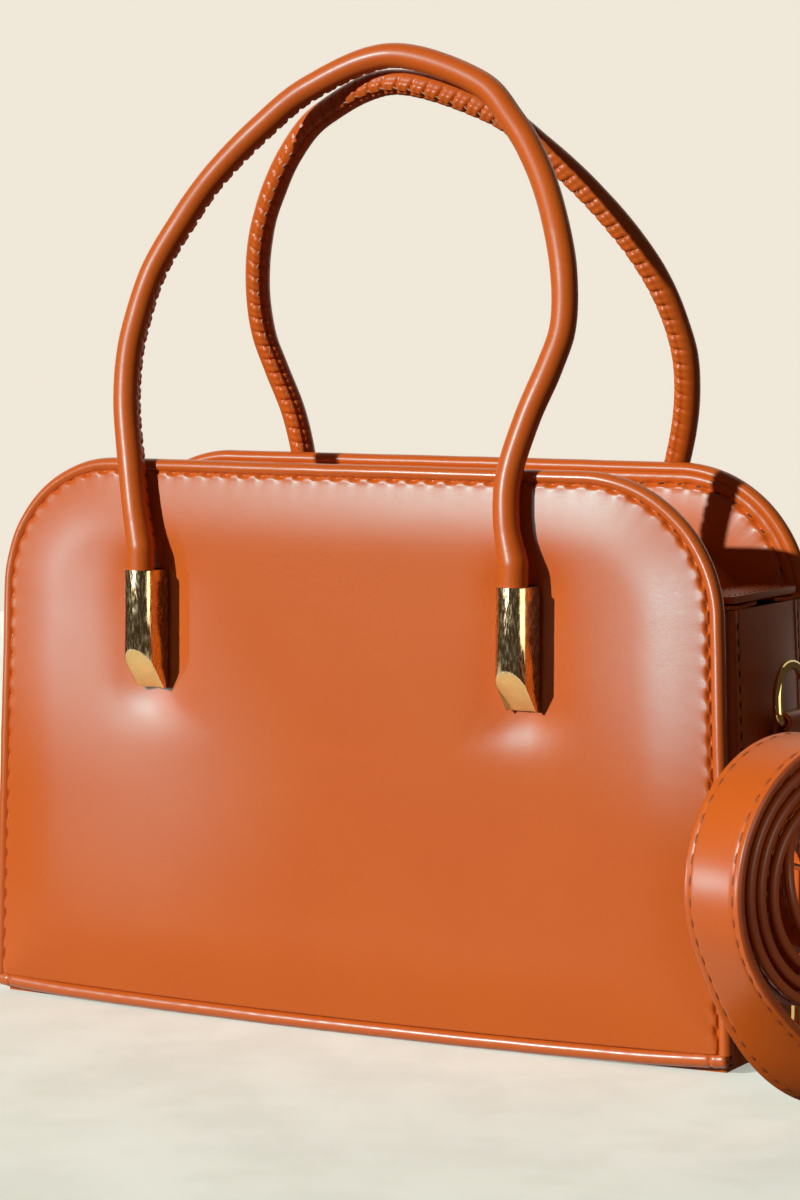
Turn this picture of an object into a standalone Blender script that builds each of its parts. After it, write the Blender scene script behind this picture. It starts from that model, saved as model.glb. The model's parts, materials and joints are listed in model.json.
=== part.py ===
"""Handbag with two padded plates, a zipped compartment between them, two rolled handles and a coiled strap.

X runs across the bag, -Y is its front and Z is up. The origin is the middle of the base, on the floor.
"""

import math

import bmesh
import bpy
from mathutils import Matrix, Vector

# The two plates, in metres. Depth is measured between their outer faces at the side edges.
body_width = 0.250
plate_height = 0.168
body_depth = 0.068
top_corner_radius = 0.042
foot_corner_radius = 0.0035
least_corner_radius = 0.001
side_lean = math.radians(2.0)
plate_bow = 0.004
plate_lift = 0.0003
edge_rise = 0.001
padding_rise = 0.0034
padding_margins = (0.004, 0.012, 0.026)
bow_slice = 0.028

# Sheet thicknesses of the plates, from the outside in.
skin_thickness = 0.0012
padding_thickness = 0.0006
board_thickness = 0.0014
facing_thickness = 0.0010
layer_gap = 0.0003

# Rolled edge round the plates, and the welt along their feet.
edge_diameter = 0.0040
welt_diameter = 0.0046
welt_end_inset = 0.006

# Base and sides.
base_panel_thickness = 0.0014
base_board_thickness = 0.0020
base_end_inset = 0.003
board_edge_inset = 0.0065
gusset_thickness = 0.0012
gusset_drop = 0.025
gusset_fold_inset = 0.0030
gusset_flange_length = 0.009
gusset_edge_inset = 0.0004
gusset_swell = 0.0035
swell_low_share = 0.25

# Roof of the compartment, seen from the front as an arch.
roof_drop = 0.013
roof_flat_half = 0.052
roof_bend_radius = 0.060
roof_slope = math.radians(42.0)
roof_thickness = 0.0012
roof_seam_half = 0.0065
roof_end_inset = 0.0006
lining_thickness = 0.0008
lining_side_gap = 0.0022
lining_corner_radius = 0.005
lining_wall_gap = 0.0024

# Zip.
tape_thickness = 0.0006
tape_width = 0.0085
tape_end_inset = 0.010
chain_gap = 0.0003
rail_width = 0.0013
rail_height = 0.0026
slider_length = 0.012
slider_width = 0.0092
slider_plate = 0.0014
slider_flange = 0.0012
slider_reach = 0.0010
slider_rest_x = -0.055
slider_travel = 0.105
lug_height = 0.0040
lug_length = 0.0052
lug_width = 0.0026
lug_hole_radius = 0.0012
pull_length = 0.024
pull_width = 0.0062
pull_thickness = 0.0012
pull_eye_margin = 0.0014
stop_length = 0.003
tab_width = 0.0135
tab_thickness = 0.0020
tab_half_length = 0.0245

# Handles and the ferrules that hold them.
handle_spread = 0.0622
handle_diameter = 0.0078
handle_wall = 0.0011
core_gap = 0.0004
foot_stretch = 0.0020
front_handle_rise = 0.1208
back_handle_rise = 0.1132
front_apex_y = -0.0050
back_apex_y = 0.0005
back_apex_x = -0.002
handle_lean_power = 1.3
ferrule_width = 0.0096
ferrule_depth = 0.0096
ferrule_crown = 0.0034
ferrule_length = 0.0360
ferrule_drop = 0.0322
ferrule_cut_height = 0.0122
ferrule_edge_round = 0.0004
screw_radius = 0.0015
screw_head_radius = 0.0034
screw_head_thickness = 0.0006
screw_depth = 0.0060
screw_drop = 0.0120

# Shares of the handle's rise, and how far out each leg is there as a share of the spread.
rise_shares = (0.0, 0.08, 0.17, 0.28, 0.38, 0.46, 0.56, 0.66, 0.76, 0.86, 0.94)
front_left_shares = (1.0, 1.07, 1.13, 1.19, 1.20, 1.18, 1.13, 1.02, 0.87, 0.65, 0.41)
front_right_shares = (1.0, 0.95, 0.94, 1.00, 1.08, 1.12, 1.09, 1.01, 0.89, 0.71, 0.49)
back_left_shares = (1.0, 0.93, 0.905, 0.93, 0.99, 1.03, 1.02, 0.96, 0.847, 0.675, 0.447)
back_right_shares = (1.0, 1.09, 1.173, 1.255, 1.29, 1.28, 1.217, 1.097, 0.919, 0.691, 0.443)

# Rings on the sides, with the leather tabs that carry them.
ring_inner_width = 0.0205
ring_wire = 0.0027
ring_height = 0.0185
ring_corner_radius = 0.0034
ring_bar_share = 0.75
ring_lean = math.radians(5.0)
ring_tab_width = 0.018
ring_tab_length = 0.030
ring_tab_thickness = 0.0013

# Shoulder strap, coiled and stood on its loose outer turn at the bag's front right corner.
strap_width = 0.020
strap_thickness = 0.0025
strap_centre_x = 0.1666
strap_centre_y = -0.080
strap_centre_height = 0.0673
strap_turn = math.radians(-21.0)
strap_outer_radius = 0.0364
strap_turn_gaps = (0.0072, 0.0046, 0.0038, 0.0040)
strap_leave_angle = math.radians(205.0)
strap_points_per_turn = 24
strap_tail_start = 0.038
strap_tail_length = 0.030
strap_tail_rise = 0.0019
strap_loosening = 0.030
strap_lean = math.radians(-26.0)
strap_end_radius = 0.013
strap_end_shift = 0.024
strap_end_angle = math.radians(0.0)
strap_edge_round = 0.0006

# Swivel snap hooks on the strap's two ends.
eye_wire = 0.0024
eye_length = 0.0085
eye_corner_radius = 0.0022
eye_side_gap = 0.0006
boss_radius = 0.0030
boss_length = 0.0036
stem_radius = 0.0014
stem_head_radius = 0.0024
stem_head_length = 0.0012
hook_wire = 0.0030
hook_length = 0.021
hook_half_width = 0.0075
hub_length = 0.0056
hub_radius = 0.0030
gate_wire = 0.0020
strap_loop_length = 0.0095
strap_loop_thickness = 0.0012

# Clearances and cutter overruns.
clearance = 0.0003
cut_overrun = 0.002
tiny_gap = 0.0001

half_width = body_width / 2
half_depth = body_depth / 2
roof_height = plate_height - roof_drop
gusset_top = roof_height - gusset_drop
ring_bar_height = ring_bar_share * gusset_top
ferrule_top = plate_height - ferrule_drop
front_handle_top = plate_height + front_handle_rise
back_handle_top = plate_height + back_handle_rise
foot_rise = welt_diameter - edge_diameter + clearance
plate_thickness = (
    skin_thickness + padding_thickness + board_thickness + facing_thickness + 3 * layer_gap
)

LEATHER = (0.62, 0.150, 0.042, 1.0)
LINING = (0.30, 0.16, 0.09, 1.0)
BOARD = (0.45, 0.36, 0.26, 1.0)
FOAM = (0.80, 0.78, 0.74, 1.0)
GOLD = (0.86, 0.60, 0.26, 1.0)
TAPE = (0.42, 0.12, 0.04, 1.0)


def clear_scene():
    for item in list(bpy.data.objects):
        bpy.data.objects.remove(item, do_unlink=True)


def new_collection(name):
    made = bpy.data.collections.new(name)
    bpy.context.scene.collection.children.link(made)
    return made


def material(name, colour, roughness, metallic=0.0):
    made = bpy.data.materials.get(name)
    if made is None:
        made = bpy.data.materials.new(name)
        made.use_nodes = True
        made.diffuse_color = colour
        shader = made.node_tree.nodes["Principled BSDF"]
        shader.inputs["Base Color"].default_value = colour
        shader.inputs["Roughness"].default_value = roughness
        shader.inputs["Metallic"].default_value = metallic
    return made


def leather(name):
    return material(name, LEATHER, 0.32)


def metal(name):
    return material(name, GOLD, 0.18, 1.0)


# Making objects.


def link(name, data, finish, where=None):
    """An object of the handbag, made from a mesh or a curve, with its material."""
    made = bpy.data.objects.new(name, data)
    bag.objects.link(made)
    data.materials.append(finish)
    if where is not None:
        made.matrix_world = where
    return made


def helper(name, data, where=None):
    """A cutter or an added shape, which isn't a piece of its own."""
    made = bpy.data.objects.new(name, data)
    helpers.objects.link(made)
    made.hide_render = True
    made.display_type = "WIRE"
    if where is not None:
        made.matrix_world = where
    return made


def mesh_from(bm, name, sharp=math.radians(35)):
    bmesh.ops.recalc_face_normals(bm, faces=bm.faces)
    mesh = bpy.data.meshes.new(name)
    bm.to_mesh(mesh)
    bm.free()
    mesh.shade_smooth()
    mesh.set_sharp_from_angle(angle=sharp)
    return mesh


def solidify(piece, thickness, offset=-1.0):
    shell = piece.modifiers.new("Thickness", "SOLIDIFY")
    shell.thickness = thickness
    shell.offset = offset
    shell.use_even_offset = True
    return piece


def boolean(piece, other, operation):
    step = piece.modifiers.new(operation.title(), "BOOLEAN")
    step.operation = operation
    step.object = other
    return piece


def grid_surface(name, rows, finish):
    """An open surface through rows of points."""
    bm = bmesh.new()
    lines = [[bm.verts.new(point) for point in row] for row in rows]
    for low, high in zip(lines, lines[1:]):
        for k in range(len(low) - 1):
            bm.faces.new((low[k], low[k + 1], high[k + 1], high[k]))
    return link(name, mesh_from(bm, name), finish)


def wire(name, points, diameter, finish, sides=2, closed=False, radii=None, where=None):
    """A round tube along the points."""
    curve = bpy.data.curves.new(name, "CURVE")
    curve.dimensions = "3D"
    curve.bevel_depth = diameter / 2
    curve.bevel_resolution = sides
    curve.use_fill_caps = not closed
    line = curve.splines.new("POLY")
    line.points.add(len(points) - 1)
    for k, (slot, point) in enumerate(zip(line.points, points)):
        slot.co = (*point, 1.0)
        slot.radius = radii[k] if radii else 1.0
    line.use_cyclic_u = closed
    line.use_smooth = True
    return link(name, curve, finish, where)


def slab(name, outlines, thickness, finish, where=None):
    """A flat plate with the given outline; further outlines are holes in it."""
    curve = bpy.data.curves.new(name, "CURVE")
    curve.dimensions = "2D"
    curve.fill_mode = "BOTH"
    curve.extrude = thickness / 2
    for outline in outlines:
        line = curve.splines.new("POLY")
        line.points.add(len(outline) - 1)
        for slot, (x, y) in zip(line.points, outline):
            slot.co = (x, y, 0.0, 1.0)
        line.use_cyclic_u = True
    return link(name, curve, finish, where)


def cylinder_mesh(name, radius, length, segments=16):
    bm = bmesh.new()
    bmesh.ops.create_cone(
        bm, cap_ends=True, segments=segments, radius1=radius, radius2=radius, depth=length
    )
    return mesh_from(bm, name)


def as_mesh(piece):
    """The mesh that a curve makes, with its caps welded on, in place of the curve."""
    bpy.context.view_layer.update()
    graph = bpy.context.evaluated_depsgraph_get()
    mesh = bpy.data.meshes.new_from_object(piece.evaluated_get(graph))
    bm = bmesh.new()
    bm.from_mesh(mesh)
    bmesh.ops.remove_doubles(bm, verts=bm.verts, dist=clearance / 10)
    bmesh.ops.recalc_face_normals(bm, faces=bm.faces)
    bm.to_mesh(mesh)
    bm.free()
    made = bpy.data.objects.new(piece.name, mesh)
    made.matrix_world = piece.matrix_world.copy()
    made.hide_render = piece.hide_render
    made.display_type = piece.display_type
    for home in piece.users_collection:
        home.objects.link(made)
    name = piece.name
    bpy.data.objects.remove(piece, do_unlink=True)
    made.name = name
    return made


# Lines and curves.


def arc(centre_x, centre_z, radius, start, end, steps):
    """Points of a round stretch, with both its ends."""
    turns = [start + (end - start) * k / steps for k in range(steps + 1)]
    return [(centre_x + radius * math.cos(t), centre_z + radius * math.sin(t)) for t in turns]


def run(start, end, steps):
    """Points between two ends, without the ends."""
    shares = [k / steps for k in range(1, steps)]
    return [tuple(a + (b - a) * s for a, b in zip(start, end)) for s in shares]


def smooth(points, per_span):
    """A smooth curve through the points."""
    ends = [2 * points[0] - points[1]] + list(points) + [2 * points[-1] - points[-2]]
    made = []
    for a, b, c, d in zip(ends, ends[1:], ends[2:], ends[3:]):
        for k in range(per_span):
            t = k / per_span
            made.append(
                (
                    2 * b
                    + (c - a) * t
                    + (2 * a - 5 * b + 4 * c - d) * t**2
                    + (3 * b - a - 3 * c + d) * t**3
                )
                / 2
            )
    made.append(points[-1])
    return made


def even(points, spacing):
    """The same line with its points a steady distance apart."""
    lengths = [(b - a).length for a, b in zip(points, points[1:])]
    total = sum(lengths)
    count = max(2, round(total / spacing))
    made, k, walked = [points[0].copy()], 0, 0.0
    for step in range(1, count):
        goal = total * step / count
        while walked + lengths[k] < goal:
            walked += lengths[k]
            k += 1
        made.append(points[k].lerp(points[k + 1], (goal - walked) / lengths[k]))
    made.append(points[-1].copy())
    return made


def side_x(height):
    """How far out the plates' side edge is at a height."""
    return half_width - math.tan(side_lean) * height


# The plates.


def plate_outline(inset):
    """The plate's outline, drawn in by the inset, as (x, z) from the foot's middle round to the right."""
    top = plate_height - inset
    top_radius = max(top_corner_radius - inset, least_corner_radius)
    foot_radius = max(foot_corner_radius - inset, least_corner_radius)
    lean, slope = side_lean, math.tan(side_lean)
    edge = half_width - inset / math.cos(lean)
    foot = inset + foot_rise
    foot_z = foot + foot_radius
    foot_x = edge - slope * foot_z - foot_radius / math.cos(lean)
    top_z = top - top_radius
    top_x = edge - slope * top_z - top_radius / math.cos(lean)
    quarter = math.pi / 2
    foot_arc = arc(foot_x, foot_z, foot_radius, -quarter, lean, 4)
    top_arc = arc(top_x, top_z, top_radius, lean, quarter, 8)
    half = run((0.0, foot), foot_arc[0], 4) + foot_arc
    half += run(foot_arc[-1], top_arc[0], 3) + top_arc + run(top_arc[-1], (0.0, top), 3)
    mirrored = [(-x, z) for x, z in reversed(half)]
    return [(0.0, foot)] + half + [(0.0, top)] + mirrored


def bow_at(x):
    """How far the plates bow outwards at a distance from the middle."""
    return plate_bow * (1 - (x / half_width) ** 2)


def plate_point(side, x, z, depth):
    """A place in a plate; depth is measured inwards from its outer face, side is -1 in front."""
    y = side * (half_depth + bow_at(x) - depth)
    rise = edge_rise * (x / half_width) ** 2 * (1 - z / plate_height)
    return Vector((x, y, z + plate_lift + rise))


def distance_inside(x, z, outline):
    """How far a point is from the outline's nearest side."""
    best = body_width
    for (ax, az), (bx, bz) in zip(outline, outline[1:] + outline[:1]):
        run_x, run_z = bx - ax, bz - az
        length = run_x**2 + run_z**2
        share = min(1.0, max(0.0, ((x - ax) * run_x + (z - az) * run_z) / length))
        best = min(best, math.hypot(x - ax - share * run_x, z - az - share * run_z))
    return best


def swell(distance):
    """How far the padding lifts the skin at a distance from the panel's edge."""
    share = min(1.0, distance / padding_margins[-1])
    return padding_rise * (1 - (1 - share) ** 2.5)


panel_inset = edge_diameter + layer_gap


def plate_layer(name, side, depth, thickness, finish, lift_front=False, lift_back=False):
    """One sheet of a plate: flat or, where it is lifted, swelling out over the padding."""
    outline = plate_outline(panel_inset)
    rings = [outline]
    if lift_front or lift_back:
        rings += [plate_outline(panel_inset + margin) for margin in padding_margins]
    bm = bmesh.new()
    loops = [[bm.verts.new((x, 0.0, z)) for x, z in ring] for ring in rings]
    for outer, inner in zip(loops, loops[1:]):
        for k in range(len(outer)):
            n = (k + 1) % len(outer)
            bm.faces.new((outer[k], outer[n], inner[n], inner[k]))
    bm.faces.new(loops[-1])
    slices = int(half_width / bow_slice)
    for k in range(-slices, slices + 1):
        everything = bm.verts[:] + bm.edges[:] + bm.faces[:]
        bmesh.ops.bisect_plane(
            bm,
            geom=everything,
            dist=tiny_gap,
            plane_co=(k * bow_slice, 0.0, 0.0),
            plane_no=(1.0, 0.0, 0.0),
        )
    lifts = {v: swell(distance_inside(v.co.x, v.co.z, outline)) for v in bm.verts}
    grown = bmesh.ops.extrude_face_region(bm, geom=bm.faces[:])["geom"]
    backs = {v for v in grown if isinstance(v, bmesh.types.BMVert)}
    by_place = {(v.co.x, v.co.z): lift for v, lift in lifts.items()}
    for v in bm.verts:
        back = v in backs
        lifted = lift_back if back else lift_front
        out = by_place[(v.co.x, v.co.z)] if lifted else 0.0
        v.co = plate_point(side, v.co.x, v.co.z, depth + (thickness if back else 0.0) - out)
    bmesh.ops.triangulate(bm, faces=[f for f in bm.faces if len(f.verts) > 4])
    return link(name, mesh_from(bm, name), finish)


def rolled_edge(name, side, finish):
    """The rolled edge, from one foot of the plate over the top to the other."""
    inset = edge_diameter / 2
    outline = plate_outline(inset)
    low = welt_diameter + 2 * clearance
    slope = math.tan(side_lean)
    foot_x = half_width - inset / math.cos(side_lean) - slope * low
    line = [(x, z) for x, z in outline if z > low] + [(-foot_x, low), (foot_x, low)]
    line = sorted(line, key=lambda spot: math.atan2(spot[1] - low, spot[0]))
    depth = plate_thickness / 2
    points = [plate_point(side, x, z, depth) for x, z in line]
    return wire(name, points, edge_diameter, finish)


def foot_welt(name, side, finish):
    """The piped welt along the plate's foot."""
    reach = side_x(welt_diameter) - welt_end_inset / 2
    steps = 12
    points = []
    for k in range(steps + 1):
        x = -reach + 2 * reach * k / steps
        points.append(plate_point(side, x, welt_diameter / 2 - plate_lift / 2, welt_diameter / 2))
    return wire(name, points, welt_diameter, finish)


def plate(prefix, side):
    """All the sheets of one plate, with their screw holes."""
    tan = leather("leather")
    skin_depth = 0.0
    padding_depth = skin_depth + skin_thickness + layer_gap
    board_depth = padding_depth + padding_thickness + layer_gap
    facing_depth = board_depth + board_thickness + layer_gap
    skin = plate_layer(f"{prefix}_panel", side, skin_depth, skin_thickness, tan, True, True)
    foam = material("foam", FOAM, 0.9)
    padding = plate_layer(
        f"{prefix}_padding", side, padding_depth, padding_thickness, foam, True, False
    )
    card = material("board", BOARD, 0.8)
    board = plate_layer(f"{prefix}_board", side, board_depth, board_thickness, card)
    plate_layer(f"{prefix}_facing", side, facing_depth, facing_thickness, tan)
    rolled_edge(f"{prefix}_edge_roll", side, tan)
    foot_welt(f"{prefix}_foot_welt", side, tan)
    for hand, x in (("left", -handle_spread), ("right", handle_spread)):
        through = cylinder_mesh("screw_hole", screw_radius + clearance, 2 * screw_depth)
        middle = Vector((x, side * (half_depth + bow_at(x)), screw_height()))
        turned = Matrix.Translation(middle) @ Matrix.Rotation(math.pi / 2, 4, "X")
        cutter = helper(f"{prefix}_{hand}_screw_hole", through, turned)
        for sheet in (skin, padding, board):
            boolean(sheet, cutter, "DIFFERENCE")
        recess_depth = screw_head_thickness + clearance
        recess = cylinder_mesh("recess", screw_head_radius + clearance, 2 * recess_depth)
        inner = side * (half_depth + bow_at(x) - board_depth - board_thickness)
        turned = Matrix.Translation((x, inner, screw_height())) @ Matrix.Rotation(
            math.pi / 2, 4, "X"
        )
        boolean(board, helper(f"{prefix}_{hand}_head_recess", recess, turned), "DIFFERENCE")


# Ferrules and handles.


def skin_face(x, z):
    """How far the padded skin's outer face is from the bag's middle plane."""
    outline = plate_outline(panel_inset)
    return half_depth + bow_at(x) + swell(distance_inside(x, z, outline))


def screw_height():
    return ferrule_top - screw_drop


def ferrule_seat():
    """The distance of the ferrules' flat backs from the bag's middle plane."""
    heights = (ferrule_top, ferrule_top - ferrule_length / 2, ferrule_top - ferrule_length)
    widths = (handle_spread - ferrule_width / 2, handle_spread + ferrule_width / 2)
    return max(skin_face(x, z) for x in widths for z in heights) + clearance


def ferrule_section():
    """Half-round section as (x, y), its flat back on y = 0 and its crown at full depth."""
    half = ferrule_width / 2
    radius = (half**2 + ferrule_crown**2) / (2 * ferrule_crown)
    reach = math.asin(half / radius)
    centre = ferrule_depth - radius
    start, end = math.pi / 2 - reach, math.pi / 2 + reach
    crown = arc(0.0, centre, radius, start, end, 8)
    return [(-half, 0.0), (half, 0.0)] + crown


def ferrule(name, side, x):
    """A polished sleeve, cut off slantwise at the foot, with a blind hole for its screw."""
    seat = ferrule_seat()
    bm = bmesh.new()
    ring = [bm.verts.new((u, v, 0.0)) for u, v in ferrule_section()]
    face = bm.faces.new(ring)
    grown = bmesh.ops.extrude_face_region(bm, geom=[face])["geom"]
    lifted = [v for v in grown if isinstance(v, bmesh.types.BMVert)]
    bmesh.ops.translate(bm, verts=lifted, vec=(0.0, 0.0, ferrule_length))
    slant = Vector((0.0, ferrule_cut_height, -ferrule_depth))
    cut = bmesh.ops.bisect_plane(
        bm,
        geom=bm.verts[:] + bm.edges[:] + bm.faces[:],
        dist=tiny_gap / 10,
        plane_co=(0.0, 0.0, 0.0),
        plane_no=slant,
        clear_outer=True,
    )
    open_edges = [e for e in cut["geom_cut"] if isinstance(e, bmesh.types.BMEdge)]
    bmesh.ops.contextual_create(bm, geom=open_edges)
    mesh = mesh_from(bm, name)
    place = Matrix.Translation((x, side * seat, ferrule_top - ferrule_length))
    if side < 0:
        place = place @ Matrix.Rotation(math.pi, 4, "Z")
    piece = link(name, mesh, metal("ferrule_metal"), place)
    depth = 2 * screw_depth
    hole = cylinder_mesh("ferrule_hole", screw_radius + clearance, depth)
    turned = Matrix.Translation((x, side * seat, screw_height()))
    turned = turned @ Matrix.Rotation(math.pi / 2, 4, "X")
    return boolean(piece, helper(f"{name}_hole", hole, turned), "DIFFERENCE")


def fixing_screw(name, side, x):
    """Turned screw: its head lies behind the board, its shank reaches into the ferrule."""
    head_face = plate_thickness - facing_thickness - layer_gap
    outer = half_depth + bow_at(x)
    shank_end = ferrule_seat() - outer + screw_depth - clearance
    profile = [
        (0.0, shank_end),
        (screw_radius, shank_end),
        (screw_radius, -head_face + screw_head_thickness),
        (screw_head_radius, -head_face + screw_head_thickness),
        (screw_head_radius, -head_face),
        (0.0, -head_face),
    ]
    mesh = bpy.data.meshes.new(name)
    edges = [(k, k + 1) for k in range(len(profile) - 1)]
    mesh.from_pydata([(r, 0.0, z) for r, z in profile], edges, [])
    quarter = math.pi / 2 if side < 0 else -math.pi / 2
    place = Matrix.Translation((x, side * outer, screw_height())) @ Matrix.Rotation(quarter, 4, "X")
    piece = link(name, mesh, metal("screw_metal"), place)
    turn = piece.modifiers.new("Turned", "SCREW")
    turn.steps = turn.render_steps = 16
    turn.use_merge_vertices = True
    turn.merge_threshold = tiny_gap / 10
    return piece


def pivot_height():
    """The handles bend just above the ferrules; the rounded foot clears the mouth all the way."""
    return ferrule_top + handle_diameter / 2 + clearance


def handle_y():
    return ferrule_seat() + ferrule_depth / 2


def handle_line(side, top, apex_x, apex_y, left_shares, right_shares):
    """The handle's middle line, from its left foot over the top to its right foot."""
    foot = pivot_height() + foot_stretch
    rise = top - foot
    start_y = side * handle_y()

    def at(share, x):
        lean = share**handle_lean_power
        return Vector((x, start_y + (apex_y - start_y) * lean, foot + rise * share))

    left = [at(s, -w * handle_spread) for s, w in zip(rise_shares, left_shares)]
    right = [at(s, w * handle_spread) for s, w in zip(rise_shares, right_shares)]
    points = left + [at(1.0, apex_x)] + right[::-1]
    down = Vector((0.0, 0.0, -foot_stretch))
    line = even(smooth(points, 8), handle_diameter)
    return [line[0] + down] + line + [line[-1] + down]


def handle(prefix, side, top, apex_x, apex_y, left_shares, right_shares):
    """The rolled leather tube of a handle, and the cord inside it that ends in two rounded feet."""
    line = handle_line(side, top, apex_x, apex_y, left_shares, right_shares)
    tube = list(line)
    tube[0] = tube[0] + clearance * (tube[1] - tube[0]).normalized()
    tube[-1] = tube[-1] + clearance * (tube[-2] - tube[-1]).normalized()
    skin = wire(f"{prefix}_handle", tube, handle_diameter, leather("leather"))
    skin.data.use_fill_caps = False
    solidify(skin, handle_wall)
    core_share = 1 - (handle_wall + core_gap) / (handle_diameter / 2)
    radius = handle_diameter / 2
    foot_turns = [math.pi / 2 * share for share in (0.12, 0.35, 0.6, 0.85, 1.0)]
    down = Vector((0.0, 0.0, -radius))
    start, end, radii_start = [], [], []
    for turn in foot_turns:
        start.append(line[0] + down * math.cos(turn))
        end.append(line[-1] + down * math.cos(turn))
        radii_start.append(math.sin(turn))
    inner = line[1:-1]
    neck = [line[0] + tiny_gap * (line[1] - line[0]).normalized()]
    other = [line[-1] + tiny_gap * (line[-2] - line[-1]).normalized()]
    points = start + neck + inner + other + end[::-1]
    radii = radii_start + [core_share] * (len(inner) + 2) + radii_start[::-1]
    cord = material("cord", BOARD, 0.9)
    wire(f"{prefix}_handle_core", points, handle_diameter, cord, sides=1, radii=radii)


# Base, sides, lining.


def base_outline(end_inset, side_gap):
    """The base's outline: its long sides follow the bowed plates."""
    reach = side_x(0.0) - end_inset
    steps = 8
    xs = [-reach + 2 * reach * k / steps for k in range(steps + 1)]
    front = [(x, -(half_depth + bow_at(x) - side_gap)) for x in xs]
    return front + [(-x, -y) for x, y in front]


def base():
    tan = leather("leather")
    gap = welt_diameter + clearance
    place = Matrix.Translation((0.0, 0.0, base_panel_thickness / 2))
    slab("base_panel", [base_outline(base_end_inset, gap)], base_panel_thickness, tan, place)
    board_gap = plate_thickness + gusset_thickness + 2 * clearance
    ends = base_end_inset + gusset_edge_inset + gusset_thickness + board_edge_inset
    middle = base_panel_thickness + clearance + base_board_thickness / 2
    place = Matrix.Translation((0.0, 0.0, middle))
    card = material("board", BOARD, 0.8)
    slab("base_board", [base_outline(ends, board_gap)], base_board_thickness, card, place)


def gusset_line(height):
    """The gusset's section at a height, as (x, y) from the front flange round to the back one."""
    out = side_x(height) - gusset_edge_inset - gusset_thickness / 2
    flange = half_depth - plate_thickness - clearance - gusset_thickness / 2
    fold = flange - gusset_fold_inset
    share = height / gusset_top
    swelling = gusset_swell * (swell_low_share + (1 - swell_low_share) * math.sin(math.pi * share))
    back = gusset_thickness
    web = []
    for k in range(-3, 4):
        y = fold * k / 3
        web.append((out + swelling * (1 - (y / fold) ** 2), y))
    front = [
        (out - gusset_flange_length, -flange),
        (out - 2 * back, -flange),
        (out - back / 2, -flange + back / 2),
    ]
    return front + web + [(x, -y) for x, y in reversed(front)]


def gusset(name, side):
    """Folded side panel: a swelling web between two flanges sewn to the plates."""
    low = base_panel_thickness + clearance
    steps = 6
    rows = []
    for k in range(steps + 1):
        height = low + (gusset_top - low) * k / steps
        rows.append([(side * x, y, height) for x, y in gusset_line(height)])
    return solidify(grid_surface(name, rows, leather("leather")), gusset_thickness, 0.0)


def roof_line(drop):
    """The compartment's arched top as (x, z), from left to right, lowered squarely by the drop."""
    radius = roof_bend_radius - drop
    centre_z = roof_height - roof_bend_radius
    start, end = math.pi / 2, math.pi / 2 - roof_slope
    bend = arc(roof_flat_half, centre_z, radius, start, end, 6)
    foot = roof_foot() - drop
    last_x, last_z = bend[-1]
    slope_x = last_x + (last_z - foot) / math.tan(roof_slope)
    end_x = side_x(gusset_top) - roof_end_inset
    half = bend + [(slope_x, foot), (end_x, foot)]
    flat = [(roof_flat_half / 2, roof_height - drop)]
    middle = [(0.0, roof_height - drop)]
    right = flat + half
    return [(-x, z) for x, z in reversed(right)] + middle + right


def roof_foot():
    """The top face of the roof's level ends, which lie on the gussets."""
    return gusset_top + clearance + roof_thickness


def zip_facing(name, side):
    """Half of the roof: from the seam along the zip to the plate."""
    rows = []
    for x, z in roof_line(0.0):
        wall = half_depth + bow_at(x) - plate_thickness - clearance
        middle = (wall + roof_seam_half) / 2
        rows.append([(x, side * y, z) for y in (roof_seam_half, middle, wall)])
    if side > 0:
        rows = rows[::-1]
    return solidify(grid_surface(name, rows, leather("leather")), roof_thickness, -1.0)


def lining():
    """The cloth pouch of the compartment, open along the top."""
    drop = roof_thickness + clearance
    inside = side_x(gusset_top) - gusset_edge_inset - lining_side_gap
    top = [(x, min(z, gusset_top - clearance)) if abs(x) > inside - drop else (x, z)
           for x, z in roof_line(drop)]
    top = [(max(-inside, min(inside, x)), z) for x, z in top]
    low = base_panel_thickness + base_board_thickness + 2 * clearance + lining_thickness
    foot_x = side_x(low) - gusset_edge_inset - lining_side_gap
    round_foot = lining_corner_radius
    corner = arc(foot_x - round_foot, low + round_foot, round_foot, 0.0, -math.pi / 2, 3)
    around = corner + [(-x, z) for x, z in reversed(corner)]
    wall = half_depth - plate_thickness - lining_wall_gap
    bm = bmesh.new()
    outline = top + around
    front = [bm.verts.new((x, -wall, z)) for x, z in outline]
    back = [bm.verts.new((x, wall, z)) for x, z in outline]
    bm.faces.new(front)
    bm.faces.new(back[::-1])
    first = len(top) - 1
    for k in range(first, len(outline)):
        n = (k + 1) % len(outline)
        bm.faces.new((front[k], back[k], back[n], front[n]))
    cloth = material("lining", LINING, 0.8)
    return solidify(link("lining", mesh_from(bm, "lining"), cloth), lining_thickness, -1.0)


# Zip.


def tape_drop():
    """How far the tapes lie under the roof's top face."""
    return roof_thickness + clearance


def rail_drop():
    """How far the chain's top lies under the roof's top face."""
    return tape_drop() + tape_thickness / 2 - rail_height / 2


def zip_line(drop):
    """The part of the roof's line that the zip follows, up to the end tabs."""
    reach = side_x(gusset_top) - tape_end_inset
    line = [(x, z) for x, z in roof_line(drop) if abs(x) < reach]
    return [(-reach, line[0][1])] + line + [(reach, line[-1][1])]


def zip_strip(name, side, start, end, drop, thickness, finish):
    rows = [[(x, side * start, z), (x, side * end, z)] for x, z in zip_line(drop)]
    if side > 0:
        rows = rows[::-1]
    return solidify(grid_surface(name, rows, finish), thickness, -1.0)


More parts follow.
